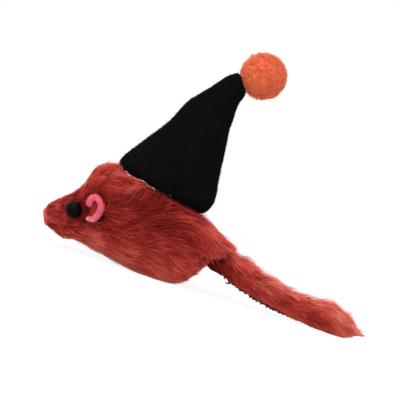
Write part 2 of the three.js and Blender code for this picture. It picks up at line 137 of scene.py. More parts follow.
class Shader:
    """A material, or another owner of a shader tree, under construction."""

    def __init__(self, name, owner=None):
        self.material = owner or bpy.data.materials.new(name)
        self.material.use_nodes = True
        self.tree = self.material.node_tree
        self.tree.nodes.clear()

    def node(self, kind, settings=None, inputs=None, output=0):
        made = self.tree.nodes.new(kind)
        for key, value in (settings or {}).items():
            if key == "stops":
                ramp = made.color_ramp.elements
                while len(ramp) < len(value):
                    ramp.new(1)
                for element, (stop, colour) in zip(ramp, value):
                    element.position, element.color = stop, colour
            else:
                setattr(made, key, value)
        for key, value in (inputs or {}).items():
            if isinstance(value, Value):
                self.tree.links.new(value.socket, made.inputs[key])
            else:
                made.inputs[key].default_value = value
        return Value(self, made.outputs[output]) if len(made.outputs) else None

    def place(self, scale=1.0):
        """Where a point lies on the piece, in millimetres times scale."""
        here = self.node("ShaderNodeTexCoord", output="Object")
        size = (scale / MM,) * 3
        return self.node("ShaderNodeVectorMath", {"operation": "MULTIPLY"}, {0: here, 1: size})

    def cloud(self, scale, detail=2.0, roughness=0.5):
        """Soft noise from 0 to 1, with features about 1 / scale millimetres across."""
        inputs = {"Vector": self.place(scale), "Scale": 1.0, "Detail": detail, "Roughness": roughness}
        return self.node("ShaderNodeTexNoise", None, inputs)

    def ramp(self, factor, *stops):
        return self.node("ShaderNodeValToRGB", {"stops": stops}, {0: factor})

    def tint(self, factor, a, b, blend="MIX"):
        """Colour a, and b laid over it by the factor."""
        settings = {"data_type": "RGBA", "blend_type": blend}
        return self.node("ShaderNodeMix", settings, {"Factor": factor, 6: a, 7: b}, output=2)

    def finish(self, colour, roughness, bump=None, **inputs):
        """Ends in a Principled surface. The bump is a height in millimetres."""
        settings = {"Base Color": colour, "Roughness": roughness}
        settings.update({key.replace("_", " "): value for key, value in inputs.items()})
        if bump is not None:
            settings["Normal"] = self.node("ShaderNodeBump", None, {"Height": bump, "Distance": MM})
        surface = self.node("ShaderNodeBsdfPrincipled", None, settings)
        self.node("ShaderNodeOutputMaterial", None, {"Surface": surface})
        return self.material


def srgb(red, green, blue):
    """A colour as a screen shows it, from 0 to 255, in the renderer's linear light."""

    def linear(c):
        c /= 255
        return c / 12.92 if c <= 0.04045 else ((c + 0.055) / 1.055) ** 2.4

    return (linear(red), linear(green), linear(blue), 1.0)


def grey(value):
    """A grey of a strength from 0 to 1 in linear light."""
    return (value, value, value, 1)


BLACK, WHITE = grey(0), grey(1)
print("shader maths ready")

# %% [markdown]
# A product picture like this has a white room: soft light from all round and a white ground. The
# world and two wide suns light the mouse evenly, and the stronger sun comes from above on the left.
# The rays that show the background see the sky at full white.

# %% Sky and suns
SKY_STRENGTH = 0.75
SUNS = {  # direction that the light travels, strength and width in degrees
    "key": ((0.35, 0.6, -0.8), 2.1, 30),
    "fill": ((-0.75, 0.6, -0.25), 0.6, 60),
}


def background_rays(shader):
    """1 for rays that show the background, also in metal or glass, and 0 for those that only light."""
    rays = shader.tree.nodes.new("ShaderNodeLightPath").outputs
    seen = Value(shader, rays["Is Camera Ray"])
    for kind in ("Is Glossy Ray", "Is Transmission Ray"):
        seen = seen + Value(shader, rays[kind])
    return shader.node("ShaderNodeMath", {"operation": "MINIMUM"}, {0: seen, 1: 1.0})


bpy.context.scene.world = bpy.data.worlds.new("white room")
sky = Shader("white room", bpy.context.scene.world)
strength = SKY_STRENGTH + background_rays(sky) * (1 - SKY_STRENGTH)
glow = sky.node("ShaderNodeBackground", None, {"Color": WHITE, "Strength": strength})
sky.node("ShaderNodeOutputWorld", None, {"Surface": glow})

for name, (direction, power, width) in SUNS.items():
    sun = add(name, bpy.data.lights.new(name, "SUN"))
    sun.data.energy = power
    sun.data.angle = math.radians(width)
    sun.rotation_euler = Vector(direction).to_track_quat("-Z", "Y").to_euler()
bpy.context.scene.view_settings.view_transform = "Standard"
print("sky at", SKY_STRENGTH, "with", len(SUNS), "suns")

# %% [markdown]
# The ground throws back light as pale grey card does, but the camera sees most of it as plain white
# glow. Only a small share of what it sees is lit, and that share keeps the mouse's shadow.

# %% Ground
FLOOR_HALF = 3.0
GROUND_GREY = 0.8
SHADOW_SHARE = 0.1  # of the ground's look that the shadow may take away


def as_mesh(shape, name):
    """Ends the work on a bmesh and gives its mesh."""
    mesh = bpy.data.meshes.new(name)
    shape.to_mesh(mesh)
    shape.free()
    return mesh


shape = bmesh.new()
bmesh.ops.create_grid(shape, x_segments=1, y_segments=1, size=FLOOR_HALF)
floor = add("floor", as_mesh(shape, "floor"))
ground = Shader("white ground")
pale = ground.node("ShaderNodeBsdfDiffuse", None, {"Color": grey(GROUND_GREY)})
lit = ground.node("ShaderNodeBsdfDiffuse", None, {"Color": grey(SHADOW_SHARE)})
plain = ground.node("ShaderNodeEmission", None, {"Color": WHITE, "Strength": 1 - SHADOW_SHARE})
both = ground.node("ShaderNodeAddShader", None, {0: lit, 1: plain})
mixed = ground.node("ShaderNodeMixShader", None, {0: background_rays(ground), 1: pale, 2: both})
ground.node("ShaderNodeOutputMaterial", None, {"Surface": mixed})
floor.data.materials.append(ground.material)
floor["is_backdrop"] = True
print("ground is", 2 * FLOOR_HALF, "m wide")

# %% [markdown]
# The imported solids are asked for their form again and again. A search tree over each of them finds
# where a line meets it. Its middle line and the heights of its upper and lower edge come from that.

# %% Search trees over the solids
UP, DOWN = Vector((0, 0, 1)), Vector((0, 0, -1))
EDGE_SIDE = 0.5 * MM  # edges are measured this far beside the middle, off the pelt's belly seam


def tree_over(mesh):
    """A search tree over a mesh."""
    return BVHTree.FromPolygons([v.co for v in mesh.vertices], [p.vertices for p in mesh.polygons])


def spine(node, first, last, aside):
    """The middle line of a long solid, from one share of its length to another. It is a function
    that gives a point for a share of the way. It is measured a little aside of the middle plane."""
    low, high = boxes[node]
    tree = packed_trees[node]

    def middle(share):
        x = low.x + (high.x - low.x) * (first + (last - first) * share)
        over = tree.ray_cast(Vector((x, aside, high.z + MM)), DOWN)[0]
        under = tree.ray_cast(Vector((x, aside, low.z - MM)), UP)[0]
        return Vector((x, 0, (over.z + under.z) / 2))

    return middle


def edge_line(node, way, points=120):
    """Places along a solid, and how high its upper (way 1) or lower (way -1) side lies there."""
    low, high = boxes[node]
    start_z, line = (high.z + MM if way > 0 else low.z - MM), []
    for x in np.linspace(low.x, high.x, points):
        hit = packed_trees[node].ray_cast(Vector((x, EDGE_SIDE, start_z)), Vector((0, 0, -way)))[0]
        if hit:
            line.append((hit.x, hit.z))
    return np.array(line).T


def read_line(table, x):
    """Reads a table of (place, height) rows, both in millimetres, at places in metres."""
    places, heights = np.array(table).T * MM
    return np.interp(x, places, heights)


packed_trees = {name: tree_over(node.data) for name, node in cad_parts.items()}
print("trees over", len(packed_trees), "solids")

# %% [markdown]
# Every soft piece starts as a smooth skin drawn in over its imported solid. A sphere is stretched
# along the solid's own middle line, and each of its points moves in along its ray until it meets
# the solid. The sphere gives clean, even faces, which a copy of the faceted solid wouldn't have.

# %% Skins drawn in over the solids
SEAM_SIDE = Vector((0, 0.9 * MM, 0))  # the pelt's belly seam is narrower than this
SKIN_REACH = 40 * MM  # from where the rays look in, past any solid


def outer_hit(tree, origin, ray):
    """Where a look from outside, back along a ray, meets a solid. It looks beside a seam that the
    ray slips into."""
    for aside in (Vector(), SEAM_SIDE):
        hit = tree.ray_cast(origin + aside + ray * SKIN_REACH, -ray)[0]
        if hit and (hit - origin).dot(ray) > 0:
            return hit - aside
    return tree.find_nearest(origin)[0]


def relax(shape, verts, times=1):
    """Evens a skin out. Each point moves half the way to its neighbours, some times over."""
    for _ in range(times):
        bmesh.ops.smooth_vert(
            shape, verts=verts, factor=0.5, use_axis_x=True, use_axis_y=True, use_axis_z=True
        )


def drawn_in(name, node, middle, around, along, smooths):
    """A sphere drawn in over a solid. middle gives the point that a share of its length looks from."""
    shape = bmesh.new()
    bmesh.ops.create_uvsphere(shape, u_segments=around, v_segments=along, radius=1)
    bmesh.ops.rotate(shape, verts=shape.verts, matrix=Matrix.Rotation(math.pi / 2, 3, "Y"))
    for v in shape.verts:
        ray = v.co.normalized()
        v.co = outer_hit(packed_trees[node], middle((ray.x + 1) / 2), ray)
    relax(shape, shape.verts, smooths)
    bmesh.ops.recalc_face_normals(shape, faces=shape.faces)
    shape.normal_update()
    return as_mesh(shape, name)


def sink(mesh, depth):
    """Moves each point of a skin in along its normal, by a depth in metres that depends on its place."""
    shape = bmesh.new()
    shape.from_mesh(mesh)
    shape.normal_update()
    for v in shape.verts:
        v.co -= v.normal * depth(v.co)
    relax(shape, shape.verts)
    shape.normal_update()
    shape.to_mesh(mesh)
    shape.free()


def share_between(value, low, high):
    """Where a value lies between two others, from 0 to 1, eased at both ends."""
    t = min(max((value - low) / (high - low), 0), 1)
    return t * t * (3 - 2 * t)


print("skins start", round(SKIN_REACH / MM), "mm out")

# %% [markdown]
# A finished mesh becomes a piece of the mouse. It rides on a body, so that it turns with it. It may
# also stand in for a imported solid, which then isn't shown.


# %% Pieces
def piece(name, mesh, body, slot, *nodes, material):
    """Puts a finished mesh in the scene on its body, in place of the solids that it stands for."""
    made = add(name, mesh)
    mesh.polygons.foreach_set("use_smooth", [True] * len(mesh.polygons))
    mesh.materials.clear()
    mesh.materials.append(material)
    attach(made, body)
    if nodes:
        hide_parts(*nodes)
    return made


# %% [markdown]
# Fur is thousands of strands, and no operator of the mesh editor grows them. A strand is drawn as a
# chain of edges, and geometry nodes turn each chain into a tapered three-sided tube with closed
# ends. Each tube gets its own narrow strip of a UV map: across it runs the strand's tone, and along
# it the way from root to tip, so one small material colours them all.


# %% Strands from chains of edges
def tube_nodes(sides):
    """A node tree that makes chains of edges thick, by their thick attribute."""
    tree = bpy.data.node_groups.new(f"tubes of {sides} sides", "GeometryNodeTree")
    for way in ("INPUT", "OUTPUT"):
        tree.interface.new_socket("Geometry", in_out=way, socket_type="NodeSocketGeometry")
    start, end = tree.nodes.new("NodeGroupInput"), tree.nodes.new("NodeGroupOutput")
    chain, tube = tree.nodes.new("GeometryNodeMeshToCurve"), tree.nodes.new("GeometryNodeCurveToMesh")
    ring = tree.nodes.new("GeometryNodeCurvePrimitiveCircle")
    ring.inputs["Resolution"].default_value = sides
    ring.inputs["Radius"].default_value = 1
    thick = tree.nodes.new("GeometryNodeInputNamedAttribute")
    thick.data_type = "FLOAT"
    thick.inputs["Name"].default_value = "thick"
    tube.inputs["Fill Caps"].default_value = True
    for a, b in (
        (start.outputs[0], chain.inputs["Mesh"]),
        (chain.outputs[0], tube.inputs["Curve"]),
        (ring.outputs[0], tube.inputs["Profile Curve"]),
        (thick.outputs["Attribute"], tube.inputs["Scale"]),
        (tube.outputs[0], end.inputs[0]),
    ):
        tree.links.new(a, b)
    return tree


STRIP = 0.002  # width of a strand's strip of the UV map
MAP_EDGE = 0.01  # of the UV map, which no strip uses


def tubes(name, points, thick, tone, sides=3):
    """A mesh of tapered tubes. points is (strands, steps, 3), thick (strands, steps), tone (strands)."""
    strands, steps = points.shape[:2]
    mesh = bpy.data.meshes.new(name)
    mesh.vertices.add(strands * steps)
    mesh.vertices.foreach_set("co", points.astype(np.float32).ravel())
    first = (np.arange(strands)[:, None] * steps + np.arange(steps - 1)).ravel()
    mesh.edges.add(len(first))
    mesh.edges.foreach_set("vertices", np.stack([first, first + 1], 1).astype(np.int32).ravel())
    along = np.tile(np.linspace(0, 1, steps), strands)
    for label, values in {"thick": thick.ravel(), "tone": np.repeat(tone, steps), "along": along}.items():
        attribute = mesh.attributes.new(label, "FLOAT", "POINT")
        attribute.data.foreach_set("value", values.astype(np.float32))
    chains = add(name, mesh)
    chains.modifiers.new("tubes", "NODES").node_group = tube_nodes(sides)
    made = bpy.data.meshes.new_from_object(chains.evaluated_get(bpy.context.evaluated_depsgraph_get()))
    bpy.data.objects.remove(chains)
    made.name = name
    corner = np.empty(len(made.loops), np.int32)
    made.loops.foreach_get("vertex_index", corner)
    read = {label: np.empty(len(made.vertices), np.float32) for label in ("tone", "along")}
    for label, values in read.items():
        made.attributes[label].data.foreach_get("value", values)
    used = 1 - 2 * MAP_EDGE
    across = MAP_EDGE + used * read["tone"][corner] * (1 - STRIP) + (corner % sides) / sides * STRIP
    strip = np.stack([across, MAP_EDGE + used * read["along"][corner]], 1)
    made.uv_layers.new(name="OFBake").data.foreach_set("uv", strip.astype(np.float32).ravel())
    for label in ("thick", "tone", "along"):
        made.attributes.remove(made.attributes[label])
    return made


print("strand maker ready")

# %% [markdown]
# Pile comes up from random places all over a skin. A place is picked in two steps: a triangle, by its
# area or by how dense the pile is there, and then a point within it.


# %% Roots
def unit(vectors):
    """The same directions, each of length 1."""
    return vectors / np.maximum(np.linalg.norm(vectors, axis=-1, keepdims=True), 1e-12)


def arrays(mesh):
    """A skin's points, normals and triangles as arrays. The triangles are sorted, because a skin
    keeps its faces in a different order each time it is made."""
    mesh.calc_loop_triangles()
    co = np.array([v.co for v in mesh.vertices])
    normal = np.array([v.normal for v in mesh.vertices])
    tri = np.sort(np.array([t.vertices for t in mesh.loop_triangles]), axis=1)
    return co, normal, tri[np.lexsort(tri.T[::-1])]


def roots(mesh, count, rng, density=None):
    """Random places on a skin and their normals, even by area or by a density."""
    co, normal, tri = arrays(mesh)
    a, b, c = (co[tri[:, i]] for i in range(3))
    weight = np.linalg.norm(np.cross(b - a, c - a), axis=1)
    if density is not None:
        weight = weight * density((a + b + c) / 3)
    pick = tri[rng.choice(len(tri), count, p=weight / weight.sum())]
    mix = rng.dirichlet((1, 1, 1), count)[:, :, None]
    return (co[pick] * mix).sum(1), unit((normal[pick] * mix).sum(1))


print("roots ready")

# %% [markdown]
# Pile has a direction. Each strand leaves the skin, bends over and lies along the way the fur was
# combed, so its place, its normal and a flow are enough to draw it. No comb leaves every hair in line,
# so each one strays a little to the side and bows on its way.

# %% Growing
BOW = 0.12  # how far a strand bows to the side, as a share of its length


def ripple(places, rng, size, waves=7):
    """Smooth noise from about -1 to 1 over places, with features of a size in metres."""
    ways = unit(rng.normal(size=(waves, 3))) * (2 * math.pi / size) * rng.uniform(0.6, 1.4, (waves, 1))
    return np.sin(places @ ways.T + rng.uniform(0, 2 * math.pi, waves)).sum(1) / math.sqrt(waves)


def grow(places, normals, flow, length, rise, steps, rng, swirl=0.0, stray=0.2, hug=0.75):
    """Strands that leave a skin and bend over along a flow. length and rise are in metres.
    A flow that leads off the skin is turned along it by the share hug."""
    into = (flow * normals).sum(1, keepdims=True)
    hug = np.broadcast_to(hug, len(places))[:, None]
    lie = unit(flow - normals * into * np.where(into < 0, 1, hug))
    side = np.cross(normals, lie)
    angle = swirl + rng.normal(0, stray, len(places))
    lie = lie * np.cos(angle)[:, None] + side * np.sin(angle)[:, None]
    bow = side * rng.normal(0, BOW, (len(places), 1)) * length[:, None]
    s = np.linspace(0, 1, steps)[None, :, None]
    along = lie[:, None] * length[:, None, None] * s
    off = normals[:, None] * rise[:, None, None] * (1 - (1 - s) ** 2)
    return places[:, None] + along + off + bow[:, None] * s * s


def fade(values, *stops):
    """Shares from 0 to 1. Two stops fade in from one to the other, and four fade in and out again."""
    return np.interp(values, stops, (0, 1) if len(stops) == 2 else (0, 1, 1, 0))


print("growing ready")

# %% [markdown]
# Neighbouring hairs lean together, and the eye takes that for fur, where single hairs look like
# bristle. Some strands are picked as hearts, and every other one is drawn towards its nearest heart.


# %% Locks
def locks(places, count, rng, stretch=1):
    """For each place, the number of the nearest of some places picked as the hearts of locks.
    Locks are longer than wide by the stretch, along the mouse."""
    places = places / (stretch, 1, 1)
    hearts = rng.choice(len(places), count, replace=False)
    tree = KDTree(count)
    for number, heart in enumerate(hearts):
        tree.insert(places[heart], number)
    tree.balance()
    return hearts, np.array([tree.find(place)[1] for place in places])


def gather(strands, hearts, lock, pull, power=1.3):
    """Draws each strand towards the strand at the heart of its lock, most at its tip."""
    s = np.linspace(0, 1, strands.shape[1])[None, :, None]
    weight = pull[:, None, None] * s**power
    return strands + (strands[hearts[lock]] - strands) * weight


def in_locks(strands, places, count, rng, pulls, calm, power=1.3):
    """Gathers strands into locks, each by its own share between two pulls. calm is less where a
    strand takes little part. Gives the strands and the number of each one's lock."""
    hearts, lock = locks(places, count, rng)
    pull = rng.uniform(*pulls, count)[lock]
    return gather(strands, hearts, lock, pull * calm, power), lock


def shades(rng, count, spread, lock=slice(None)):
    """Random shades, one for each strand, or one for each lock, given to all of its strands."""
    return spread * rng.normal(size=count)[lock]


def kept_clear(strands, tree, gap, near):
    """Moves the points of strands that lie in a solid, or nearer to it than a gap, out of it."""
    flat = strands.reshape(-1, 3)
    for number in np.flatnonzero(near(flat)):
        hit, normal, _, _ = tree.find_nearest(Vector(flat[number]))
        depth = (Vector(flat[number]) - hit).dot(normal)
        if depth < gap:
            flat[number] = hit + normal * gap
    return flat.reshape(strands.shape)


print("locks ready")

# %% [markdown]
# Hair is painted darker towards its root, as painted shade down between its neighbours, and no two
# hairs took the dye alike. The strip of the UV map holds both, so one ramp across it gives the tones
# and another along it gives the painted shade. Strands taper, and they are split into pieces that
# one mesh file can hold.

# %% Colour and pieces of pile
MOST_STRANDS = 9500  # in one piece
TAPER = 1.5  # power by which a strand's radius goes from its root's to its tip's


def fur_material(name, tones, root_shade=0.6, roughness=0.7, shine=0.1):
    """Fur's colour from its strip: tones across it, and painted shade that darkens it towards the root."""
    fur = Shader(name)
    strip = fur.node("ShaderNodeUVMap", {"uv_map": "OFBake"})
    tone = fur.node("ShaderNodeSeparateXYZ", None, {"Vector": strip})
    along = Value(fur, tone.socket.node.outputs["Y"])
    # painted shade: the strand's colour darkens towards its root
    shade = fur.ramp(along, (0, grey(root_shade)), (0.5, grey(0.9)), (1, WHITE))
    return fur.finish(
        fur.tint(1.0, fur.ramp(tone, *tones), shade, "MULTIPLY"), roughness, Specular_IOR_Level=shine
    )


def in_pieces(name, strands, rng, root, tip, tone, body, slot, material):
    """Strands as several pieces. Their radii go from root to tip, some strands being thicker than
    others, and their tones lie between 0 and 1."""
    taper = root + (tip - root) * np.linspace(0, 1, strands.shape[1]) ** TAPER
    thick = taper * rng.uniform(0.75, 1.25, (len(strands), 1))
    tone = np.clip(tone, 0, 1)
    parts = math.ceil(len(strands) / MOST_STRANDS)
    for part in range(parts):
        rows = slice(part * len(strands) // parts, (part + 1) * len(strands) // parts)
        mesh = tubes(f"{name}_{part + 1}", strands[rows], thick[rows], tone[rows])
        piece(f"{name}_{part + 1}", mesh, body, slot, material=material)
    print(name, len(strands), "strands in", parts, "pieces")


print("colour ready, at most", MOST_STRANDS, "strands in a piece")

# %% [markdown]
# The body is one pelt wrapped over a hard core. Its fur is shortest on the snout and longest on the
# rump. The solid is the outer face of that fur, so the hide lies below it by the depth of the pile.
# Under the belly the fur's lower edge is a line of its own, lifted a little off the solid's.

# %% Depth of the pile
BODY_PILE = ((0, 0.1, 0.2, 0.35, 0.6, 1), (0.3, 0.5, 0.9, 1.6, 1.8, 1.6))  # shares of length, mm
BELLY_LIFT = (  # of the fur's lower edge, over the solid's
    (-48, 0.2), (-46, 0.7), (-44, 2.1), (-41, 2.0), (-37, 1.8), (-34, 1.8), (-28, 1.5), (-23, 1.3),
    (-18, 0.45), (-9, 0.4), (-6, 1.2), (-3, 0.8), (0, -2.2),
)
body_low, body_high = boxes["body_pelt"]
solid_belly = edge_line("body_pelt", -1)


def along_body(x):
    """The share of the body's length at a place."""
    return (x - body_low.x) / (body_high.x - body_low.x)


def pile_depth(x):
    """How deep the pile lies over the hide, by place along the body."""
    return np.interp(along_body(x), *BODY_PILE) * MM


def belly_fur(x):
    """How high the fur's lower edge lies."""
    return np.interp(x, *solid_belly) + read_line(BELLY_LIFT, x)


print("body is", round((body_high.x - body_low.x) / MM, 1), "mm long")

# %% [markdown]
# The hat leans back over the body, and its hem rises a little to the rear. The fur has to know both:
# it is pressed flat under the felt, and it ends where the hem begins. So the hat's axis, the way to
# its rear and the plane of its hem are worked out here, before the hat itself is made.

# %% Axis and hem of the hat
HAT_LEAN = math.radians(18.5)
HEM_TILT = math.radians(8)
hat_axis = Vector((math.sin(HAT_LEAN), 0, math.cos(HAT_LEAN)))
hat_rear = Vector((math.cos(HAT_LEAN), 0, -math.sin(HAT_LEAN)))
hat_solid = packed_trees["hat_cone"]
hat_low = boxes["hat_cone"][0]
hat_points = np.array([v.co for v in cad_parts["hat_cone"].data.vertices])


def up_the_hat(points):
    """How high points lie along the hat, less what its hem rises to the rear."""
    return points @ np.array(hat_axis) - math.tan(HEM_TILT) * (points @ np.array(hat_rear))


hem_level = up_the_hat(hat_points).min()


def over_hem(points):
    """How far points lie above the plane of the hat's hem, along the hat."""
    return up_the_hat(points) - hem_level


hem_ring = hat_points[over_hem(hat_points) < MM] @ np.array(hat_rear)
hem_ends = hem_ring.min(), hem_ring.max()


def under_hat(place):
    """True where the way up along the hat's axis meets the hat."""
    return place[2] > hat_low.z - 3 * MM and hat_solid.ray_cast(Vector(place), hat_axis)[0] is not None


print("hem is", round((hem_ends[1] - hem_ends[0]) / MM, 1), "mm long")

# %% [markdown]
# The hide is the skin that the fur grows from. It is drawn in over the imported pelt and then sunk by
# the depth of the pile, which the mouse's own weight and the hat press thin.

# %% Body hide
BODY_SPINE = (0.1, 0.9)  # shares of the body's length that the skin's rays start from
BELLY = 3 * MM  # height up to which the pile is pressed by the mouse's weight
BELLY_PRESS, HAT_PRESS = 0.55, 0.1  # shares of the pile's depth that are left there and under the hat
SKIN_OVER_FUR = 0.5 * MM  # how far the hide stays above the fur's lower edge
CHIN = (-48 * MM, -44 * MM)  # where that begins, and where it is full


def hide_depth(place):
    """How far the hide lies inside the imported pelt. Pile is thin under the belly and under the hat."""
    pressed = BELLY_PRESS + (1 - BELLY_PRESS) * share_between(place.z, 0, BELLY)
    return pile_depth(place.x) * (HAT_PRESS if under_hat(place) else pressed)


hide = drawn_in("hide", "body_pelt", spine("body_pelt", *BODY_SPINE, MM), around=64, along=80, smooths=4)
sink(hide, hide_depth)
for v in hide.vertices:
    v.co.z = max(v.co.z, belly_fur(v.co.x) + SKIN_OVER_FUR * share_between(v.co.x, *CHIN))
print("hide", len(hide.polygons), "faces")

# %% [markdown]
# The end of the snout is worn bare and shows pink leather. The rest of the hide is dyed dark red, so
# that a gap between two hairs doesn't show pale. The bare face slants, as the snout's end does.

# %% Dyed hide and bare nose
NOSE_DEPTH = 1.1  # millimetres behind the snout's end where the fur begins
NOSE_EDGE = 1.0  # millimetres behind it that the ragged edge of the bare leather may reach
NOSE_SLANT = 0.4  # how far the snout's end leans forward for its height
nose_face = min(v.co.x + NOSE_SLANT * v.co.z for v in hide.vertices) / MM
leather = Shader("dyed hide")
along_x = leather.node("ShaderNodeSeparateXYZ", None, {"Vector": leather.place()})
height = Value(leather, along_x.socket.node.outputs["Z"])
behind_face = along_x + height * NOSE_SLANT - nose_face
bare = leather.ramp(behind_face + leather.cloud(1.2, 4.0) * 0.5, (NOSE_EDGE, WHITE), (NOSE_EDGE, BLACK))
patches = leather.ramp(leather.cloud(0.4, 4.0), (0.3, srgb(124, 26, 20)), (0.7, srgb(160, 44, 36)))
nose = leather.ramp(leather.cloud(1.4, 5.0), (0.3, srgb(178, 46, 48)), (0.7, srgb(216, 94, 96)))
hide_finish = leather.finish(
    leather.tint(bare, patches, nose), 0.85, bump=leather.cloud(3.0) * 0.08, Specular_IOR_Level=0.15
)
piece("body_hide", hide, "mouse", "red_fur", "body_pelt", material=hide_finish)
print("nose ends", round(nose_face, 1), "mm from the middle")

# %% [markdown]
# The coat is fifty thousand hairs. They come up all over the hide, apart from the bare nose, the beds
# of the eyes and the place under the hat. Some of them don't lie with the others and are called wild
# here. Without them the fur would look painted on.

# %% Where the coat grows
COAT_STRANDS = 56000  # before those are left out that have no room
COAT_STEPS = 4
WILD_SHARE = 0.12
HEM_MARGIN = 3.5 * MM  # fur also grows this deep behind the hem
BEAD_MARGIN = 0.3 * MM  # and this far in from an eye's outline
coat_rng = np.random.default_rng(11)


def under_bead(place, node):
    """True where a bead hides a place."""
    low, high = boxes[node]
    return (Vector(place) - (low + high) / 2).length < (high.z - low.z) / 2 - BEAD_MARGIN


def has_room(place, normal):
    """True where a hair can come up, clear of the hat and the eyes."""
    under_eye = under_bead(place, "eye_left") or under_bead(place, "eye_right")
    return not (under_eye or under_hat(place + normal * HEM_MARGIN))


places, normals = roots(hide, COAT_STRANDS, coat_rng)
keep = np.array([has_room(place, normal) for place, normal in zip(places, normals)])
keep &= places @ np.array((1, 0, NOSE_SLANT)) > (nose_face + NOSE_DEPTH) * MM
places, normals = places[keep], normals[keep]
count = len(places)
wild = coat_rng.random(count) < WILD_SHARE
print(count, "hairs have room")

# %% [markdown]
# Fur differs over the body, so the places where it does are marked first, as shares from 0 to 1. Each
# fades in and out along the body and up its side. The neck is the fur behind the ears, pushed_up is
# what the hat's front pushes forward, and the tuft is the point of fur over the tail's root.

# %% Parts of the body
share = along_body(places[:, 0])
high_up = (places[:, 2] - body_low.z) / (body_high.z - body_low.z)
neck = fade(share, 0.16, 0.26, 0.4, 0.5) * fade(high_up, 0.45, 0.8)
pushed_up = fade(share, 0.16, 0.28, 0.5, 0.62) * fade(high_up, 0.4, 0.6)
rump = fade(share, 0.78, 0.95)
under_rump = fade(share, 0.72, 0.88) * (1 - fade(high_up, 0.25, 0.45))
low_rump = rump * (1 - fade(high_up, 0.4, 0.5))
tuft = rump * fade(high_up, 0.45, 0.55, 0.76, 0.82) * (1 - fade(abs(places[:, 1]), 4 * MM, 7 * MM))
for name, part in {"neck": neck, "pushed up": pushed_up, "rump": rump, "tuft": tuft}.items():
    print(name, "takes", round(part.mean() * 100), "% of the coat")

# %% [markdown]
# Fur is combed from nose to tail, stands up where it meets the front of the hat, and droops over the
# root of the tail, where its hairs run to one point. It grows longer from the snout to the flank.

# %% Length, direction and rise of the coat
COAT_LENGTH = ((0, 0.08, 0.2, 0.3, 0.42, 0.7, 0.9, 1), (1.1, 1.9, 3.2, 6.0, 8.0, 9.0, 9.5, 8.5))
TUFT_TIP = Vector((10.4, 0, 17.6)) * MM  # where the fur over the tail's root comes to a point
TIP_SPREAD = 0.7  # millimetres that the ends there come short of the point, on average
BROW, BROW_WIDTH, BROW_RISE = -43 * MM, 2.5 * MM, 1.5 * MM  # a ridge of fur across the head
length = np.interp(share, *COAT_LENGTH) * MM * coat_rng.uniform(0.6, 1.15, count)
tips = np.array(TUFT_TIP) - np.outer(coat_rng.exponential(TIP_SPREAD, count), (0.8, 0, 1)) * MM
to_tip = tips - places * (1, 0.7, 1)
pushed_up *= np.clip(1.1 - normals[:, 2], 0, 1)
flow_up = -0.1 + 1.4 * pushed_up * coat_rng.uniform(0.5, 1.2, count) + 0.35 * under_rump
flow = np.stack([np.ones(count), 0.15 * np.sign(places[:, 1]), flow_up], 1)
flow = flow * (1 - tuft[:, None]) + unit(to_tip) * tuft[:, None]
length *= (1 - 0.3 * neck) * (1 - 0.55 * under_rump) * (1 - 0.3 * rump * (1 - tuft))
length *= 1 - 0.6 * low_rump
length += tuft * (np.linalg.norm(to_tip, axis=1) * coat_rng.uniform(0.45, 1.0, count) - length)
rise = pile_depth(places[:, 0]) * coat_rng.uniform(0.55, 1.2, count)
rise *= (1 + 0.15 * neck) * (1 - 0.6 * under_rump) * (1 - 0.75 * tuft)
rise *= np.where(wild, 1.8 - 0.35 * neck, 1)
rise += np.exp(-(((places[:, 0] - BROW) / BROW_WIDTH) ** 2)) * fade(high_up, 0.7, 0.85) * BROW_RISE
print("hairs are", round(length.mean() / MM, 1), "mm long on average")

# %% [markdown]
# Now the hairs grow. The lie of the fur swirls a little from place to place, as it does on an animal.
# They are gathered twice, into fine wisps and then into broad locks, and the wild hairs hardly at all.

# %% Hairs of the coat
SWIRL, SWIRL_SIZE = 0.42, 26 * MM  # how far the lie turns, in radians, and over what distance
WILD_CALM = 0.15  # how much of a lock's pull a wild hair takes
COAT_WISPS, COAT_LOCKS = 3200, 480
swirl = SWIRL * ripple(places, coat_rng, SWIRL_SIZE) * (0.2 + 0.8 * fade(share, 0.1, 0.35)) * (1 - tuft)
swirl += wild * coat_rng.normal(0, 0.25, count)
strands = grow(
    places, normals, flow, length, rise, COAT_STEPS, coat_rng, swirl, hug=0.75 - 0.65 * tuft
)
calm = np.where(wild, WILD_CALM, 1)
strands, wisp = in_locks(strands, places, COAT_WISPS, coat_rng, (0.25, 0.65), calm)
calm = calm * np.interp(share, (0.1, 0.3), (0.35, 1))
strands, lock = in_locks(strands, places, COAT_LOCKS, coat_rng, (0.1, 0.5), calm, power=1.8)
print(count, "hairs in", COAT_WISPS, "wisps and", COAT_LOCKS, "locks")

# %% [markdown]
# Hairs give way to what is glued into the coat. Those that would run through an ear, an eye or the
# hat are moved out to its surface, point by point.

# %% Room for the ears, the eyes and the hat
EAR_GAP, EYE_GAP, HAT_GAP = 0.15 * MM, 0.12 * MM, 0.2 * MM
for side in ("left", "right"):
    for node, gap in ((f"ear_{side}", EAR_GAP), (f"eye_{side}", EYE_GAP)):
        low, high = (np.array(c) for c in boxes[node])
        strands = kept_clear(
            strands, packed_trees[node], gap, lambda p: ((p > low - gap) & (p < high + gap)).all(1)
        )
strands = kept_clear(strands, hat_solid, HAT_GAP, lambda p: p[:, 2] > hat_low.z - MM)
print("hairs kept", EAR_GAP / MM, "mm off the ears")

# %% [markdown]
# The outline of the fur is trimmed by lines in the mouse's middle plane, and each hair may stray over
# them by its own amount. The hat's hem lies on top of the fur. The belly's fur is pressed by the
# mouse's weight. Over the tail's root it falls steeply and then runs out level, and behind the ears
# it stands up, where the hat pushes it forward.

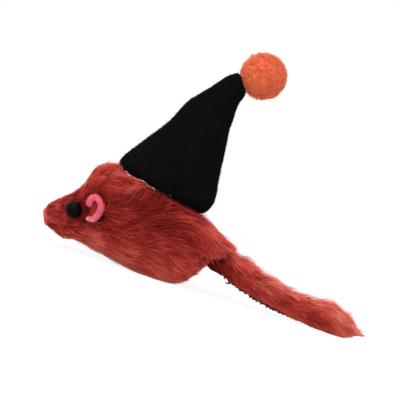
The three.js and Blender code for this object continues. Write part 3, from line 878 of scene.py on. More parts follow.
# %% Outline of the coat
RUMP_LINE = ((-4, 25), (-3, 23.4), (0, 21.6), (1.5, 20.1), (3, 18.9), (4.5, 18.0), (6, 17.6), (10, 17.5))
NECK_LINE = (
    (-52, 14.2), (-49.5, 16.0), (-48, 17.2), (-46.5, 18.6), (-45.3, 20.2), (-44.2, 22.2), (-43.2, 25.8),
    (-42.2, 28.8), (-40.5, 29.8), (-36, 31.4),
)
NECK_END = -40 * MM
COAT_STRAY, HEM_STRAY = 0.32 * MM, 0.3  # how far hairs stray over a line, and over the hem in mm
NECK_STRAY = 1.6  # times as much at the neck
OVER_GROUND = 0.06 * MM
rear = strands @ np.array(hat_rear)
beside = (abs(strands[:, :, 1]) > 2.5 * MM) & (rear > hem_ends[0] + MM) & (rear < hem_ends[1] + 1.5 * MM)
stray_over = (coat_rng.exponential(HEM_STRAY, count)[:, None] - 1.0) * MM
strands -= (np.maximum(over_hem(strands) - stray_over, 0) * beside)[:, :, None] * np.array(hat_axis)

along, stray = strands[:, :, 0], coat_rng.exponential(COAT_STRAY, count)[:, None]
lowest = np.where(along < body_high.x - 0.5 * MM, belly_fur(along) - stray, 0)
highest = np.where(along > RUMP_LINE[0][0] * MM, read_line(RUMP_LINE, along) + stray, body_high.z * 2)
highest = np.where(along < NECK_END, read_line(NECK_LINE, along) + NECK_STRAY * stray, highest)
strands[:, :, 2] = np.clip(strands[:, :, 2], np.maximum(lowest, OVER_GROUND), highest)
print("coat reaches", round(strands[:, :, 2].max() / MM, 1), "mm up")

# %% [markdown]
# Fur is lighter where it stands at an edge, painted as if seen against the light: along the back and
# the belly. It is painted darker, as painted shade, in the middle of the flank, in the shade of the
# hat's hem and round the eyes and ears. It is also paler on the neck, the rump, the tuft and the
# snout, and in the wild hairs. The rest is chance: each lock, wisp, streak and hair took the dye a
# little differently.

# %% Tones of the coat
COAT_TONE = 0.31  # on a scale from the darkest tone, 0, to the palest, 1
COAT_STREAKS = 2600
HEM_SHADE, HEM_SHADE_REACH = 0.3, 1.8 * MM
FOOT_SHADES = {"eye_left": 0.3, "eye_right": 0.3, "ear_left": 0.12, "ear_right": 0.12}
FOOT_SHADE_REACH = 1.2 * MM
coat_tones = (
    (0.0, srgb(108, 22, 18)),
    (0.25, srgb(160, 39, 34)),
    (0.5, srgb(214, 70, 61)),
    (0.75, srgb(250, 112, 96)),
    (1.0, srgb(254, 158, 140)),
)
_, streak = locks(places, COAT_STREAKS, coat_rng, stretch=4)
tone = COAT_TONE + shades(coat_rng, COAT_LOCKS, 0.09, lock) + shades(coat_rng, COAT_WISPS, 0.07, wisp)
tone += shades(coat_rng, COAT_STREAKS, 0.1, streak) + shades(coat_rng, count, 0.07)
# painted light: paler where the fur stands at the outline, and much paler on the down-facing belly fur
edge = 1 - abs(normals[:, 1]) ** 2
below = np.clip(-normals[:, 2], 0, 1) * fade(share, 0.1, 0.3, 0.8, 0.92)
snout = 1 - fade(share, 0.02, 0.16)
# painted shade: darker in the middle of the flank, about halfway up
flank = np.interp(share, (0.35, 0.5, 0.65), (0, 1, 0)) * np.interp(high_up, (0.25, 0.5, 0.85), (0, 1, 0.6))
tone += 0.22 * edge + 0.22 * neck + 0.12 * tuft + 0.42 * below + 0.12 * rump
tone += 0.1 * snout - 0.13 * flank + 0.12 * wild
shaded = np.exp(-np.abs(over_hem(strands[:, 2])) / HEM_SHADE_REACH) * (np.abs(places[:, 1]) > 4 * MM)
tone -= HEM_SHADE * shaded * np.interp(places[:, 0] / MM, (-34, -27, -14, -6), (0, 1, 1, 0.4))
for node, darker in FOOT_SHADES.items():
    low, high = boxes[node]
    away = np.linalg.norm(places - np.array((low + high) / 2), axis=1) - (high.z - low.z) / 2
    tone -= darker * np.exp(-np.maximum(away, 0) / FOOT_SHADE_REACH)
coat_finish = fur_material("dyed fur", coat_tones)
in_pieces("coat", strands, coat_rng, 0.055 * MM, 0.016 * MM, tone, "mouse", "red_fur", coat_finish)

# %% [markdown]
# The eyes are glued beads of black glass. Each is drawn in over its packed bead, and its polish does
# the rest: it shows the white room as one dim highlight.

# %% Eyes
polish = Shader("polished black")
bead_finish = polish.finish(srgb(6, 4, 4), polish.cloud(1.2, 3.0) * 0.1 + 0.36, Specular_IOR_Level=0.05)
for side in ("left", "right"):
    name, (low, high) = f"eye_bead_{side}", boxes[f"eye_{side}"]
    bead = drawn_in(name, f"eye_{side}", lambda share: (low + high) / 2, around=48, along=32, smooths=3)
    piece(name, bead, "mouse", "eye_black", f"eye_{side}", material=bead_finish)
    print("eye", side, "is", round((high.z - low.z) / MM, 2), "mm high")

# %% [markdown]
# An ear is a petal of pink leather whose edge is rolled inwards, like a C that opens forward. Down
# inside the roll it is painted crimson, as painted shade, and the lower half of the roll is scuffed
# pale. Two attributes mark those places, and the colours are laid over each other.

# %% Ear leather
ear = Shader("pink leather")
hollow = ear.node("ShaderNodeAttribute", {"attribute_name": "hollow"}, output="Fac")
scuffed = ear.node("ShaderNodeAttribute", {"attribute_name": "scuffed"}, output="Fac")
dyed = ear.ramp(ear.cloud(0.8, 4.0), (0.3, srgb(198, 62, 88)), (0.7, srgb(222, 92, 114)))
# painted shade: crimson laid over the leather down inside the roll
deep = ear.tint(hollow, dyed, srgb(150, 2, 22))
scuffs = ear.ramp(ear.cloud(2.6, 6.0, 0.7) + scuffed * 0.22, (0.68, BLACK), (0.82, WHITE))
ear_finish = ear.finish(
    ear.tint(scuffs, deep, srgb(246, 176, 184)), ear.cloud(2.0) * 0.2 + 0.4,
    bump=ear.cloud(2.6, 6.0, 0.65) * 0.14, Specular_IOR_Level=0.35,
)
print("ear leather ready")

# %% [markdown]
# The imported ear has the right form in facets. A remesh gives it an even skin, a smoothing takes the
# remesh's steps away, and a little noise crumples the leather.

# %% Ears
EAR_OPENING = Vector((-0.3, -0.88, -0.32)).normalized()
EAR_VOXEL = 0.17 * MM
CRUMPLE, CRUMPLE_SCALE = 0.16 * MM, 0.7  # how far the leather bulges, and bulges in a millimetre
# the painted shade inside the roll is placed by these depths and reaches
HOLLOW_DEPTHS = (0.5 * MM, 1.2 * MM)  # below the roll's crest, where crimson starts and is full
HOLLOW_REACH = (2.4 * MM, 3.0 * MM)  # from the ear's middle, forward or to the rear


def even_skin(mesh):
    """A copy of a mesh with small, even faces."""
    rough = add("rough ear", mesh)
    even = rough.modifiers.new("even", "REMESH")
    even.mode, even.voxel_size = "VOXEL", EAR_VOXEL
    smooth = rough.modifiers.new("smooth", "SMOOTH")
    smooth.factor, smooth.iterations = 0.5, 8
    made = bpy.data.meshes.new_from_object(rough.evaluated_get(bpy.context.evaluated_depsgraph_get()))
    bpy.data.objects.remove(rough)
    return made


ear_meshes = {}
for side, mirror in (("left", 1), ("right", -1)):
    name, (low, high) = f"ear_petal_{side}", boxes[f"ear_{side}"]
    petal = bmesh.new()
    petal.from_mesh(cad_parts[f"ear_{side}"].data)
    bmesh.ops.remove_doubles(petal, verts=petal.verts, dist=0.001 * MM)
    bmesh.ops.recalc_face_normals(petal, faces=petal.faces)
    even = even_skin(as_mesh(petal, "rough ear"))
    petal = bmesh.new()
    petal.from_mesh(even)
    petal.normal_update()
    for v in petal.verts:
        crumple = noise.fractal(v.co / MM * CRUMPLE_SCALE + Vector((3, 7 * mirror, 1)), 1.0, 2.0, 2)
        v.co += v.normal * crumple * CRUMPLE
    mesh = as_mesh(petal, name)
    opening = Vector((EAR_OPENING.x, EAR_OPENING.y * mirror, EAR_OPENING.z))
    crest = max(v.co.dot(opening) for v in mesh.vertices)
    marks = {"hollow": [], "scuffed": []}
    for v in mesh.vertices:
        # where the painted shade goes: deep under the roll's crest, near the ear's middle and above its lower
        # part
        sunk = share_between(crest - v.co.dot(opening), *HOLLOW_DEPTHS)
        inside = 1 - share_between(abs(v.co.x - (low.x + high.x) / 2), *HOLLOW_REACH)
        inside *= share_between((v.co.z - low.z) / (high.z - low.z), 0.15, 0.42)
        marks["hollow"].append(sunk * inside)
        marks["scuffed"].append(1 - share_between(v.co.z, low.z, (low.z + high.z) / 2))
    for label, values in marks.items():
        mesh.attributes.new(label, "FLOAT", "POINT").data.foreach_set("value", values)
    piece(name, mesh, "mouse", "pink_leather", f"ear_{side}", material=ear_finish)
    ear_meshes[side] = mesh
    print("ear", side, len(mesh.polygons), "faces")

# %% [markdown]
# The ears are glued on. Where one meets the fur, the glue has squeezed out at its foot and dried in
# pale beads. A few small spheres half sunk in the leather show that.

# %% Glue at the ears
GLUE_BEADS = 26
GLUE_HEIGHT = 0.5 * MM  # over the ear's lowest point, where the beads have thinned out to a third
glue_rng = np.random.default_rng(61)
dried = Shader("dried glue")
milky = dried.cloud(3.0, 3.0)
glue_colour = dried.ramp(milky, (0.35, srgb(214, 128, 124)), (0.65, srgb(246, 214, 206)))
glue_finish = dried.finish(glue_colour, milky * 0.2 + 0.25)
for side, petal in ear_meshes.items():
    foot = boxes[f"ear_{side}"][0].z
    spots, _ = roots(petal, GLUE_BEADS, glue_rng, lambda p: np.exp(-(p[:, 2] - foot) / GLUE_HEIGHT))
    beads = bmesh.new()
    for spot in spots:
        at = Matrix.Translation(spot) @ Matrix.Diagonal((*glue_rng.uniform(0.6, 1.4, 3), 1))
        radius = glue_rng.uniform(0.08, 0.22) * MM
        bmesh.ops.create_icosphere(beads, subdivisions=2, radius=radius, matrix=at)
    name = f"ear_glue_{side}"
    piece(name, as_mesh(beads, name), "mouse", "pink_leather", material=glue_finish)
print(GLUE_BEADS, "beads of glue on each ear")

# %% [markdown]
# The hat is a sheet of black felt rolled into a cone, so it is made that way. The sheet is a grid. Its
# width goes round the hat and its height goes up it, and each of its points moves in until it meets
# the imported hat. The lowest rows follow the tilted hem and hang a little over it.

# %% Rolled felt
HAT_AROUND, HAT_ALONG = 96, 72
HEM_FADE = 3  # power by which the hem's tilt fades towards the tip
HEM_SAFE = 2.6 * MM  # above this the whole ring lies over the tilted hem
HEM_LIFT = 0.1 * MM  # rays meet the hat at least this far over its hem
REAR_FALL, SIDE_FALL = 0.9 * MM, 0.7 * MM  # how much lower the felt hangs behind and at the sides
FALL_FADE = 6  # power by which that fades towards the tip
HAT_REACH = 60 * MM
hat_front = -hat_rear
heights = hat_points @ np.array(hat_axis)
hat_offset = (hat_points @ np.array(hat_front)).mean()
hem_points = hat_points[over_hem(hat_points) < 0.2 * MM]
hem = (hem_points @ np.array(hat_axis)).mean() - 0.25 * MM
tip = heights.max() - 0.5 * MM
hem_heart = Vector(hem_points.mean(0))


def hat_middle(height):
    """The middle of the hat at a height along its axis, and half its depth from front to rear."""
    ends = []
    for way in (hat_front, -hat_front):
        foot = hat_axis * height + hat_front * hat_offset
        ends.append(hat_solid.ray_cast(foot + way * HAT_REACH, -way)[0])
    return (ends[0] + ends[1]) / 2, (ends[0] - ends[1]).length / 2


rings = [hat_middle(max(hem + (tip - hem) * row / HAT_ALONG, hem + HEM_SAFE)) for row in range(HAT_ALONG + 1)]


def rolled(across, share_up):
    """Where a point of the sheet comes to lie, across from -1 to 1 and up from 0 to 1."""
    angle = math.pi * across
    height = hem + (tip - hem) * share_up
    middle, half = rings[round(share_up * HAT_ALONG)]
    ray = hat_front * -math.cos(angle) + Vector((0, math.sin(angle), 0))
    behind = (middle - hem_heart).dot(hat_rear) + half * math.cos(angle)
    tilt = math.tan(HEM_TILT) * behind * (1 - share_up) ** HEM_FADE
    origin = middle + hat_axis * (height - middle.dot(hat_axis) + tilt)
    level = over_hem(np.array(origin + ray * half))
    lift = max(level, HEM_LIFT) - level
    hit = hat_solid.ray_cast(origin + ray * HAT_REACH + hat_axis * lift, -ray, HAT_REACH)[0]
    fall = REAR_FALL * max(math.cos(angle), 0) + SIDE_FALL * math.sin(angle) ** 2
    return hit - hat_axis * (lift + fall * (1 - share_up) ** FALL_FADE) if hit else origin


sheet = bmesh.new()
bmesh.ops.create_grid(sheet, x_segments=HAT_AROUND, y_segments=HAT_ALONG, size=1)
for v in sheet.verts:
    v.co = rolled(v.co.x, (v.co.y + 1) / 2)
bmesh.ops.remove_doubles(sheet, verts=sheet.verts, dist=0.01 * MM)
relax(sheet, [v for v in sheet.verts if not v.is_boundary], 3)
print("hat from hem to tip in mm", round((tip - hem) / MM, 1))

# %% [markdown]
# The cone's tip is closed, and its hem is turned under: the lower edge is drawn inwards three times,
# first down, then up, and then up the inside. Felt isn't stiff, so broad noise makes it uneven, and
# it flares where it sits on the fur in front and behind.

# %% Turned hem and flare
FELT = 1.0 * MM
FELT_PROUD = 0.15 * MM  # its nap stands this far over the solid
FELT_FORWARD = 0.12 * MM  # and a little more in front
FLARE = 0.45 * MM  # and more yet at the hem's front and rear corners
FLARE_TOP = 13 * MM  # where that ends, over the hem
FLARE_REACH = 12 * MM  # where it is full, from the hem's middle
LUMP, LUMPS = 0.22 * MM, 0.22  # how far lumps stand out, and lumps in a millimetre
HEM_TURNS = ((0.7, -0.35), (0.9, 0.3), (0.4, 2.2))  # millimetres inwards and up


def rim(shape):
    """The edges of a sheet that have a face on one side only."""
    return [e for e in shape.edges if e.is_boundary]


top = [e for e in rim(sheet) if e.verts[0].co.dot(hat_axis) > (hem + tip) / 2]
crown = bmesh.ops.contextual_create(sheet, geom=top)["faces"]
bmesh.ops.poke(sheet, faces=crown)
for inward, upward in HEM_TURNS:
    made = bmesh.ops.extrude_edge_only(sheet, edges=rim(sheet))["geom"]
    verts = [g for g in made if isinstance(g, bmesh.types.BMVert)]
    heart = sum((v.co for v in verts), Vector()) / len(verts)
    for v in verts:
        v.co += (heart - v.co).normalized() * inward * MM + hat_axis * upward * MM
bmesh.ops.recalc_face_normals(sheet, faces=sheet.faces)
sheet.normal_update()
for v in sheet.verts:
    lump = noise.fractal(v.co / MM * LUMPS, 1.0, 2.0, 3) * LUMP
    low = 1 - share_between((v.co - hem_heart).dot(hat_axis), 0, FLARE_TOP)
    to_rear = max(min((v.co - hem_heart).dot(hat_rear) / FLARE_REACH, 1), -1)
    v.co += v.normal * (lump - FELT / 2 + FELT_PROUD) + hat_front * FELT_FORWARD
    v.co += hat_rear * FLARE * low * to_rear
hat_sheet = as_mesh(sheet, "hat_felt")
print("hat sheet", len(hat_sheet.polygons), "faces")

# %% [markdown]
# Black felt isn't quite black: matted fibres catch a little light, and it hardly shines. The sheet
# gets its thickness from a Solidify modifier and its soft edge from one level of subdivision.

# %% Hat
felt = Shader("black felt")
matted = felt.cloud(4.0, 8.0, 0.7)
mixed = matted * 0.6 + felt.cloud(0.25, 3.0) * 0.4
colour = felt.ramp(mixed, (0.3, srgb(9, 8, 8)), (0.55, srgb(13, 12, 12)), (0.8, srgb(19, 18, 18)))
felt_finish = felt.finish(colour, 0.95, bump=matted * 0.15, Specular_IOR_Level=0.02)
hat_piece = piece("hat_felt", hat_sheet, "mouse", "black_felt", "hat_cone", material=felt_finish)
thicken = hat_piece.modifiers.new("felt", "SOLIDIFY")
thicken.thickness, thicken.offset = FELT, 0
rounding = hat_piece.modifiers.new("rounding", "SUBSURF")
rounding.levels = rounding.render_levels = 1
print("felt is", round(FELT / MM, 1), "mm thick")

# %% [markdown]
# Felt has no clean edge: loose fibres stand off it all over, and a little lint is caught on it low
# down, where the hat rubs against the fur.

# %% Felt fuzz
FUZZ = 6500  # fibres, of which those on the inside are left out
FUZZ_STEPS = 3
LINT_SHARE, LINT_TOP = 0.012, 9 * MM
fuzz_rng = np.random.default_rng(23)
places, normals = roots(hat_sheet, FUZZ, fuzz_rng)
outside = np.array([
    hat_solid.ray_cast(Vector(place + normal * 0.8 * MM), Vector(normal))[0] is None
    for place, normal in zip(places, normals)
])
places, normals = places[outside] + normals[outside] * FELT / 2, normals[outside]
count = len(places)
flow = fuzz_rng.normal(size=(count, 3))
length, rise = fuzz_rng.uniform(0.3, 1.3, count) * MM, fuzz_rng.uniform(0.08, 0.4, count) * MM
fibres = grow(places, normals, flow, length, rise, FUZZ_STEPS, fuzz_rng, stray=0.6)
lint = (fuzz_rng.random(count) < LINT_SHARE) & (over_hem(places) < LINT_TOP)
tone = np.where(lint, 0.95, np.clip(fuzz_rng.normal(0.3, 0.15, count), 0, 0.7))
fuzz_finish = fur_material(
    "felt fuzz",
    ((0.0, srgb(10, 9, 9)), (0.5, srgb(17, 16, 16)), (0.8, srgb(30, 27, 26)), (1.0, srgb(160, 118, 112))),
    root_shade=0.8, roughness=0.9, shine=0.02,
)
in_pieces("hat_fuzz", fibres, fuzz_rng, 0.022 * MM, 0.012 * MM, tone, "mouse", "black_felt", fuzz_finish)

# %% [markdown]
# The hat is glued on as well, and a pale string of dried glue and caught fibre follows its hem round
# the front. Short wavering tubes along the hem, of uneven thickness, look like that.

# %% Glue along the hem
HEM_STRINGS = 96
HEM_REACH = 2.4  # how far round the hem the glue goes from its front, in radians
STRING_STEPS = 6
STRING_LIFT = 0.3 * MM  # rays meet the hat at least this far over its hem
hem_centre = hem_heart - hat_axis * over_hem(np.array(hem_heart))


def glue_string(angle):
    """A string of glue that starts at an angle round the hem and wavers on from there."""
    height, string = glue_rng.normal(-0.1, 0.45) * MM, []
    for _ in range(STRING_STEPS):
        out = hat_front * math.cos(angle) + Vector((0, math.sin(angle), 0))
        out += hat_axis * math.tan(HEM_TILT) * out.dot(hat_rear)
        lift = max(height, STRING_LIFT)
        hit = hat_solid.ray_cast(hem_centre + hat_axis * lift + out * HAT_REACH, -out)[0]
        proud = FELT_PROUD + FLARE * abs(math.cos(angle)) + glue_rng.uniform(0.15, 0.5) * MM
        string.append(list(hit + hat_axis * (height - lift) + out * proud))
        angle += glue_rng.uniform(0.01, 0.05)
        height += glue_rng.normal(0, 0.12) * MM
    return string


along_hem = glue_rng.choice((-1, 1), HEM_STRINGS) * glue_rng.beta(1.2, 1.9, HEM_STRINGS) * HEM_REACH
strings = np.array([glue_string(angle) for angle in along_hem])
string_finish = fur_material(
    "glue strings", ((0.0, srgb(196, 92, 92)), (0.5, srgb(232, 160, 156)), (1.0, srgb(250, 224, 218))),
    root_shade=0.9, roughness=0.4,
)
thick = glue_rng.uniform(0.04, 0.15, strings.shape[:2]) * MM
mesh = tubes("hem_glue", strings, thick, glue_rng.random(HEM_STRINGS), sides=6)
piece("hem_glue", mesh, "mouse", "red_fur", material=string_finish)
print(HEM_STRINGS, "strings of glue")

# %% [markdown]
# The pompom is clipped yarn: a dense ball of fibre ends. Its heart is a lumpy ball, a little darker
# in places, that keeps light from shining through between the fibres.

# %% Heart of the pompom
POM_PILE = 1.15 * MM
POM_SUNK = 0.6  # how far the heart lies inside the ball, as a share of the pile
POM_LUMP, POM_LUMPS = 0.25 * MM, 0.55  # how far lumps stand out, and lumps in a millimetre
low, high = boxes["hat_pompom"]
pom_middle, pom_radius = (low + high) / 2, (high.x - low.x) / 2
ball = bmesh.new()
bmesh.ops.create_icosphere(ball, subdivisions=5, radius=pom_radius - POM_PILE * POM_SUNK)
for v in ball.verts:
    lump = noise.fractal(v.co / MM * POM_LUMPS, 1.0, 2.0, 3) * POM_LUMP
    v.co += v.co.normalized() * lump + pom_middle
pom_heart = as_mesh(ball, "pompom_heart")
yarn = Shader("orange wool")
mottle = yarn.cloud(1.5, 5.0, 0.65)
colour = yarn.ramp(mottle, (0.3, srgb(240, 112, 70)), (0.55, srgb(250, 132, 88)), (0.8, srgb(254, 150, 108)))
wool_finish = yarn.finish(colour, 0.95, bump=mottle * 0.4)
piece("pompom_heart", pom_heart, "mouse", "orange_wool", "hat_pompom", material=wool_finish)
print("pompom is", round(2 * pom_radius / MM, 1), "mm wide")

# %% [markdown]
# Short fibres stand almost straight out of the heart. They are gathered into tiny tufts, so that the
# ball looks matted and not like a fruit.

# %% Yarn of the pompom
POM_FIBRES = 9500
POM_STEPS = 3
POM_TUFTS, TUFT_PULL = 900, 0.6
pom_rng = np.random.default_rng(31)
places, normals = roots(pom_heart, POM_FIBRES, pom_rng)
flow = pom_rng.normal(size=(POM_FIBRES, 3))
length = pom_rng.uniform(0.2, 1.0, POM_FIBRES) * MM
rise = POM_PILE * pom_rng.uniform(0.6, 1.15, POM_FIBRES)
fibres = grow(places, normals, flow, length, rise, POM_STEPS, pom_rng, stray=0.4)
hearts, lock = locks(places, POM_TUFTS, pom_rng)
fibres = gather(fibres, hearts, lock, np.full(POM_FIBRES, TUFT_PULL))
tone = 0.55 + shades(pom_rng, POM_TUFTS, 0.1, lock) + shades(pom_rng, POM_FIBRES, 0.06)
yarn_finish = fur_material(
    "orange yarn", ((0.0, srgb(244, 112, 68)), (0.5, srgb(254, 142, 96)), (1.0, srgb(254, 178, 138))),
    root_shade=0.96, roughness=0.9, shine=0.05,
)
in_pieces("pompom_yarn", fibres, pom_rng, 0.045 * MM, 0.02 * MM, tone, "mouse", "orange_wool", yarn_finish)

# %% [markdown]
# The tail is a strip of the same fur, folded lengthwise and whipped shut along its lower edge. Its
# hide is drawn in and sunk as the body's is. It stays near the surface along the stitched edge, where
# the leather shows, and at the root, where the strip goes into the body.

# %% Tail hide
TAIL_SPINE = (0.04, 0.96)
TAIL_SIDE = 0.2 * MM
TAIL_PILE = 1.1 * MM
TAIL_ROOT = 8 * MM  # over this length from its root the strip gains its full pile
EDGE_PILE, EDGE_HEIGHT = 0.2, 2 * MM  # share of the pile at the stitched edge, and up to where it grows
tail_low, tail_high = boxes["tail_strip"]


def strip_floor(x):
    """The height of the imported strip's lower edge at a place along it."""
    hit = packed_trees["tail_strip"].ray_cast(Vector((x, 0, -5 * MM)), UP)[0]
    return hit.z if hit else 0


def tail_hide_depth(place):
    """How far the tail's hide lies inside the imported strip. Along the stitched edge it shows."""
    full = share_between(place.x, tail_low.x, tail_low.x + TAIL_ROOT)
    lower = share_between(strip_floor(place.x) + EDGE_HEIGHT - place.z, 0, EDGE_HEIGHT)
    return TAIL_PILE * full * (1 - (1 - EDGE_PILE) * lower)


tail_spine = spine("tail_strip", *TAIL_SPINE, TAIL_SIDE)
strip = drawn_in("tail_hide", "tail_strip", tail_spine, around=32, along=96, smooths=3)
sink(strip, tail_hide_depth)
piece("tail_hide", strip, "tail", "red_fur", "tail_strip", material=hide_finish)
print("tail is", round((tail_high.x - tail_low.x) / MM, 1), "mm long")

# %% [markdown]
# The tail's pile runs to its tip and fans out over the top edge. It stands thickest at the root, so
# that nothing pale shows where the tail leaves the body, and it is short along the stitched edge.

# %% Hairs of the tail
TAIL_STRANDS, TAIL_STEPS = 22000, 4
TAIL_WISPS, TAIL_LOCKS, TAIL_STREAKS = 900, 170, 700
ROOT_CROWD = (8, 14)  # up to where the pile is crowded at the root, and where it is even again
ROOT_DENSITY = 4  # times as dense
TAIL_LENGTH = ((0, 0.15, 0.75, 0.9, 1), (6, 7.5, 7, 4.0, 2.0))  # of the hairs, in millimetres
TAIL_SLOPE = ((0, 0.25, 0.5, 0.75, 1), (-0.2, -0.3, -0.15, -0.03, -0.12))  # of the tail itself
TAIL_WILD, TAIL_WILD_RISE = 0.15, 2.2
tail_rng = np.random.default_rng(47)


def root_density(middles):
    """How dense the pile is at places on the strip."""
    return np.interp(middles[:, 0] / MM, ROOT_CROWD, (ROOT_DENSITY, 1))


places, normals = roots(strip, TAIL_STRANDS, tail_rng, root_density)
count = len(places)
share = (places[:, 0] - tail_low.x) / (tail_high.x - tail_low.x)
fan = np.interp(normals[:, 2], (-0.6, 0.3, 0.9), (0.0, 0.08, 0.2))
sewn = 1 - fade(normals[:, 2], -0.9, -0.5)
flow = np.stack([np.ones(count), np.zeros(count), np.interp(share, *TAIL_SLOPE) + fan], 1)
length = np.interp(share, *TAIL_LENGTH) * MM * tail_rng.uniform(0.6, 1.15, count) * (1 - 0.6 * sewn)
wild = (tail_rng.random(count) < TAIL_WILD) & (normals[:, 2] > -0.3)
rise = TAIL_PILE * tail_rng.uniform(0.5, 1.25, count) * (1 - 0.75 * sewn)
rise *= np.where(wild, TAIL_WILD_RISE, 1)
swirl = 0.2 * ripple(places, tail_rng, 14 * MM) + wild * tail_rng.normal(0, 0.2, count)
strands = grow(places, normals, flow, length, rise, TAIL_STEPS, tail_rng, swirl, stray=0.12)
calm = np.where(wild, WILD_CALM, 1)
strands, wisp = in_locks(strands, places, TAIL_WISPS, tail_rng, (0.3, 0.7), calm)
strands, lock = in_locks(strands, places, TAIL_LOCKS, tail_rng, (0.1, 0.5), calm, power=1.7)
print(count, "hairs in", TAIL_WISPS, "wisps and", TAIL_LOCKS, "locks")

# %% [markdown]
# Combing left a crest along the top. Pile in the upper part of the strip is moved to end there, and
# each hair may stray over that line by its own amount. Below, no hair hangs over the stitched edge.

# %% Outline of the tail
TAIL_CREST = (
    (4, 16.0), (8, 16.7), (9.6, 16.1), (11, 15.1), (13.5, 14.7), (15, 13.8), (18, 12.6), (21, 12.2),
    (24, 11.6), (27, 10.3), (33, 9.6), (39, 9.3), (42, 9.9), (45, 10.1), (48, 8.5), (51, 7.5),
    (53, 5.5), (55, 3.4),
)
BARE_EDGE = (  # how far the fur's lower edge lies over the strip's
    (2, -1.0), (7, -0.5), (12, 0.3), (15, 0.6), (28, 0.6), (33, 0), (56, -0.4),
)
CREST_MARGIN = 0.7 * MM  # how far under the crest the strip's top edge comes to lie
CREST_STRAY, WILD_STRAY = 0.3 * MM, 3.5  # how far hairs stray over it, and how many times that wild ones
along, seam = strands[:, :, 0], edge_line("tail_strip", -1)
floor_line, top_line = np.interp(along, *seam), np.interp(along, *edge_line("tail_strip", 1))
crest = read_line(TAIL_CREST, along)
part_up = np.clip((strands[:, :, 2] - floor_line) / np.maximum(top_line - floor_line, MM), 0, 1.5)
strands[:, :, 2] += (crest - top_line - CREST_MARGIN) * fade(part_up, 0.4, 1)
stray = (tail_rng.exponential(CREST_STRAY, count) * np.where(wild, WILD_STRAY, 1))[:, None]
strands[:, :, 2] = np.minimum(strands[:, :, 2], crest + stray)
stray = tail_rng.uniform(-0.2, 0.4, count)[:, None] * MM
lowest = np.maximum(floor_line + read_line(BARE_EDGE, along) + stray, OVER_GROUND)
strands[:, :, 2] = np.maximum(strands[:, :, 2], lowest)
print("crest is", round(crest.max() / MM, 1), "mm up")

# %% [markdown]
# The tail is paler than the body, and paler towards its end. Its top is painted lighter, as painted
# light, and its stitched underside a little darker and its root dark, as painted shade. Its locks,
# wisps, streaks and hairs vary as the coat's do.

# %% Tones of the tail
TAIL_TONE = 0.52
_, streak = locks(places, TAIL_STREAKS, tail_rng, stretch=6)
tone = TAIL_TONE + shades(tail_rng, TAIL_LOCKS, 0.06, lock) + shades(tail_rng, TAIL_WISPS, 0.06, wisp)
tone += shades(tail_rng, TAIL_STREAKS, 0.15, streak) + shades(tail_rng, count, 0.07)
tone -= 0.4 * (1 - fade(share, 0.02, 0.14)) * (normals[:, 2] < 0.6)
# painted light on the upward-facing pile, and a little painted shade along the stitched underside
tone += 0.28 * np.clip(normals[:, 2], 0, 1) - 0.06 * sewn + 0.25 * fade(share, 0.6, 0.9)
in_pieces("tail_fur", strands, tail_rng, 0.055 * MM, 0.018 * MM, tone, "tail", "red_fur", coat_finish)

# %% [markdown]
# The thread that closes the tail goes round its lower edge in uneven, slanting stitches, and a
# running thread ties them together. Rays that look out from inside the strip find its surface, and
# the thread lies on it. Near the root one end of the thread hangs out in a little hook.

# %% Stitches
STITCHES = 30
STITCH_SPAN = (3.5, 49)  # where the seam starts and ends along the mouse, in millimetres
STITCH_INSIDE = 1.7 * MM  # how far over the edge the rays start
STITCH_TURN = 1.2  # how far a stitch goes round the edge each way, in radians
THREAD = 0.22 * MM
THREAD_STEPS = 9
RUN = 1.6  # millimetres of running thread between two dives into the hide
RUN_PROUD = 0.3  # how far it stands off the hide, as a share of the thread
SEAM_DROP = (  # how far the thread hangs under the strip
    (2, 0.8), (8, 0.7), (12, 0.5), (15, 0.4), (20, 0.6), (28, 0.5), (33, 0.2), (50, 0),
)
HOOK = ((11.2, -0.4, 6.0), (10.6, -0.6, 5.7), (10, -0.7, 5.4), (9.4, -0.7, 5.3), (9, -0.6, 5.6))
sew_rng = np.random.default_rng(5)
strip_tree = tree_over(strip)
steps = np.linspace(0, 1, THREAD_STEPS)


def on_edge(x, angle, proud):
    """A point on the strip's skin round its lower edge, angle 0 being straight down."""
    inside = Vector((x, 0, np.interp(x, *seam) + STITCH_INSIDE))
    aim = Vector((0, math.sin(angle), -math.cos(angle)))
    hit = strip_tree.ray_cast(inside, aim)[0] or inside + aim * STITCH_INSIDE
    return list(hit + aim * (proud + read_line(SEAM_DROP, x) * max(math.cos(angle), 0) ** 2))


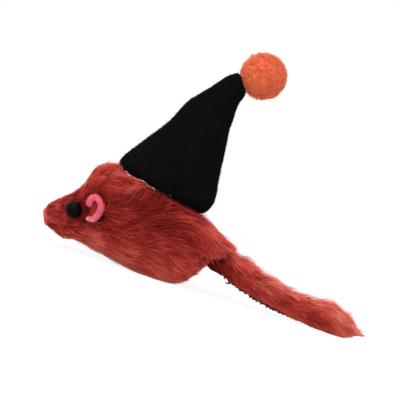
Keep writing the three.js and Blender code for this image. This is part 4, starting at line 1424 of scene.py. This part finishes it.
threads = []
for x in np.linspace(*STITCH_SPAN, STITCHES) + sew_rng.normal(0, 0.25, STITCHES):
    slant, reach = sew_rng.uniform(0.4, 0.9), STITCH_TURN * sew_rng.uniform(0.7, 1.1)
    proud = THREAD * sew_rng.uniform(0.2, 1.1)
    turns = np.linspace(-reach, reach, THREAD_STEPS)
    threads.append([on_edge((x + slant * turn) * MM, turn, proud) for turn in turns])
for face in (-1, 1):
    for x in np.arange(*STITCH_SPAN, RUN):
        turn, sway = face * sew_rng.uniform(0.35, 0.6), face * sew_rng.uniform(0.05, 0.2)
        threads.append([
            on_edge((x + RUN * s) * MM, turn + sway * math.sin(math.pi * s), THREAD * RUN_PROUD)
            for s in steps
        ])
bends = steps * (len(HOOK) - 1)
threads.append(np.stack([np.interp(bends, range(len(HOOK)), line) for line in zip(*HOOK)], 1) * MM)
threads = np.array(threads)
thread_finish = fur_material(
    "brown thread", ((0.0, srgb(44, 14, 12)), (1.0, srgb(104, 40, 34))), root_shade=0.9, roughness=0.7
)
thick = THREAD * sew_rng.uniform(0.75, 1.2, (len(threads), 1)) * np.ones(THREAD_STEPS)
mesh = tubes("tail_stitches", threads, thick, sew_rng.random(len(threads)), sides=7)
piece("tail_stitches", mesh, "tail", "brown_thread", material=thread_finish)
print(STITCHES, "stitches in", len(threads), "lengths of thread")

# %% [markdown]
# Small parts keep their packed form. The tack is sewing thread wound over and over at the tail's root.
# Inside the pelt, the core and its beads never show, but a part that is taken apart shows them.

# %% Tack, core and rattle
PLASTICS = (  # name, nodes, darker and lighter colour, roughness
    ("core plastic", ("core_shell_left", "core_shell_right"), (198, 192, 178), (216, 211, 198), 0.45),
    (
        "rattle plastic", ("rattle_bead_1", "rattle_bead_2", "rattle_bead_3"),
        (222, 214, 196), (236, 230, 214), 0.3,
    ),
)


def finish_nodes(nodes, material):
    """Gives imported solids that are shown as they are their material."""
    for name in nodes:
        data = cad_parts[name].data
        data.materials.clear()
        data.materials.append(material)


wound = Shader("wound thread")
ridges = wound.cloud(3.0, 4.0)
colour = wound.ramp(ridges, (0.3, srgb(40, 13, 11)), (0.7, srgb(80, 32, 26)))
finish_nodes(["tail_tack_thread"], wound.finish(colour, 0.8, bump=ridges * 0.2))
for label, nodes, dark, light, dull in PLASTICS:
    moulded = Shader(label)
    cloudy = moulded.cloud(0.3, 3.0)
    colour = moulded.ramp(cloudy, (0.3, srgb(*dark)), (0.7, srgb(*light)))
    finish_nodes(nodes, moulded.finish(colour, cloudy * 0.15 + dull, bump=moulded.cloud(5.0) * 0.02))
    print(label, "on", len(nodes), "pieces")

# %% [markdown]
# Last, the box of the dressed mouse is put beside the box of its solids.

# %% Sizes and finish
boxes = {"cad": cad_box, "visual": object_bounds()}
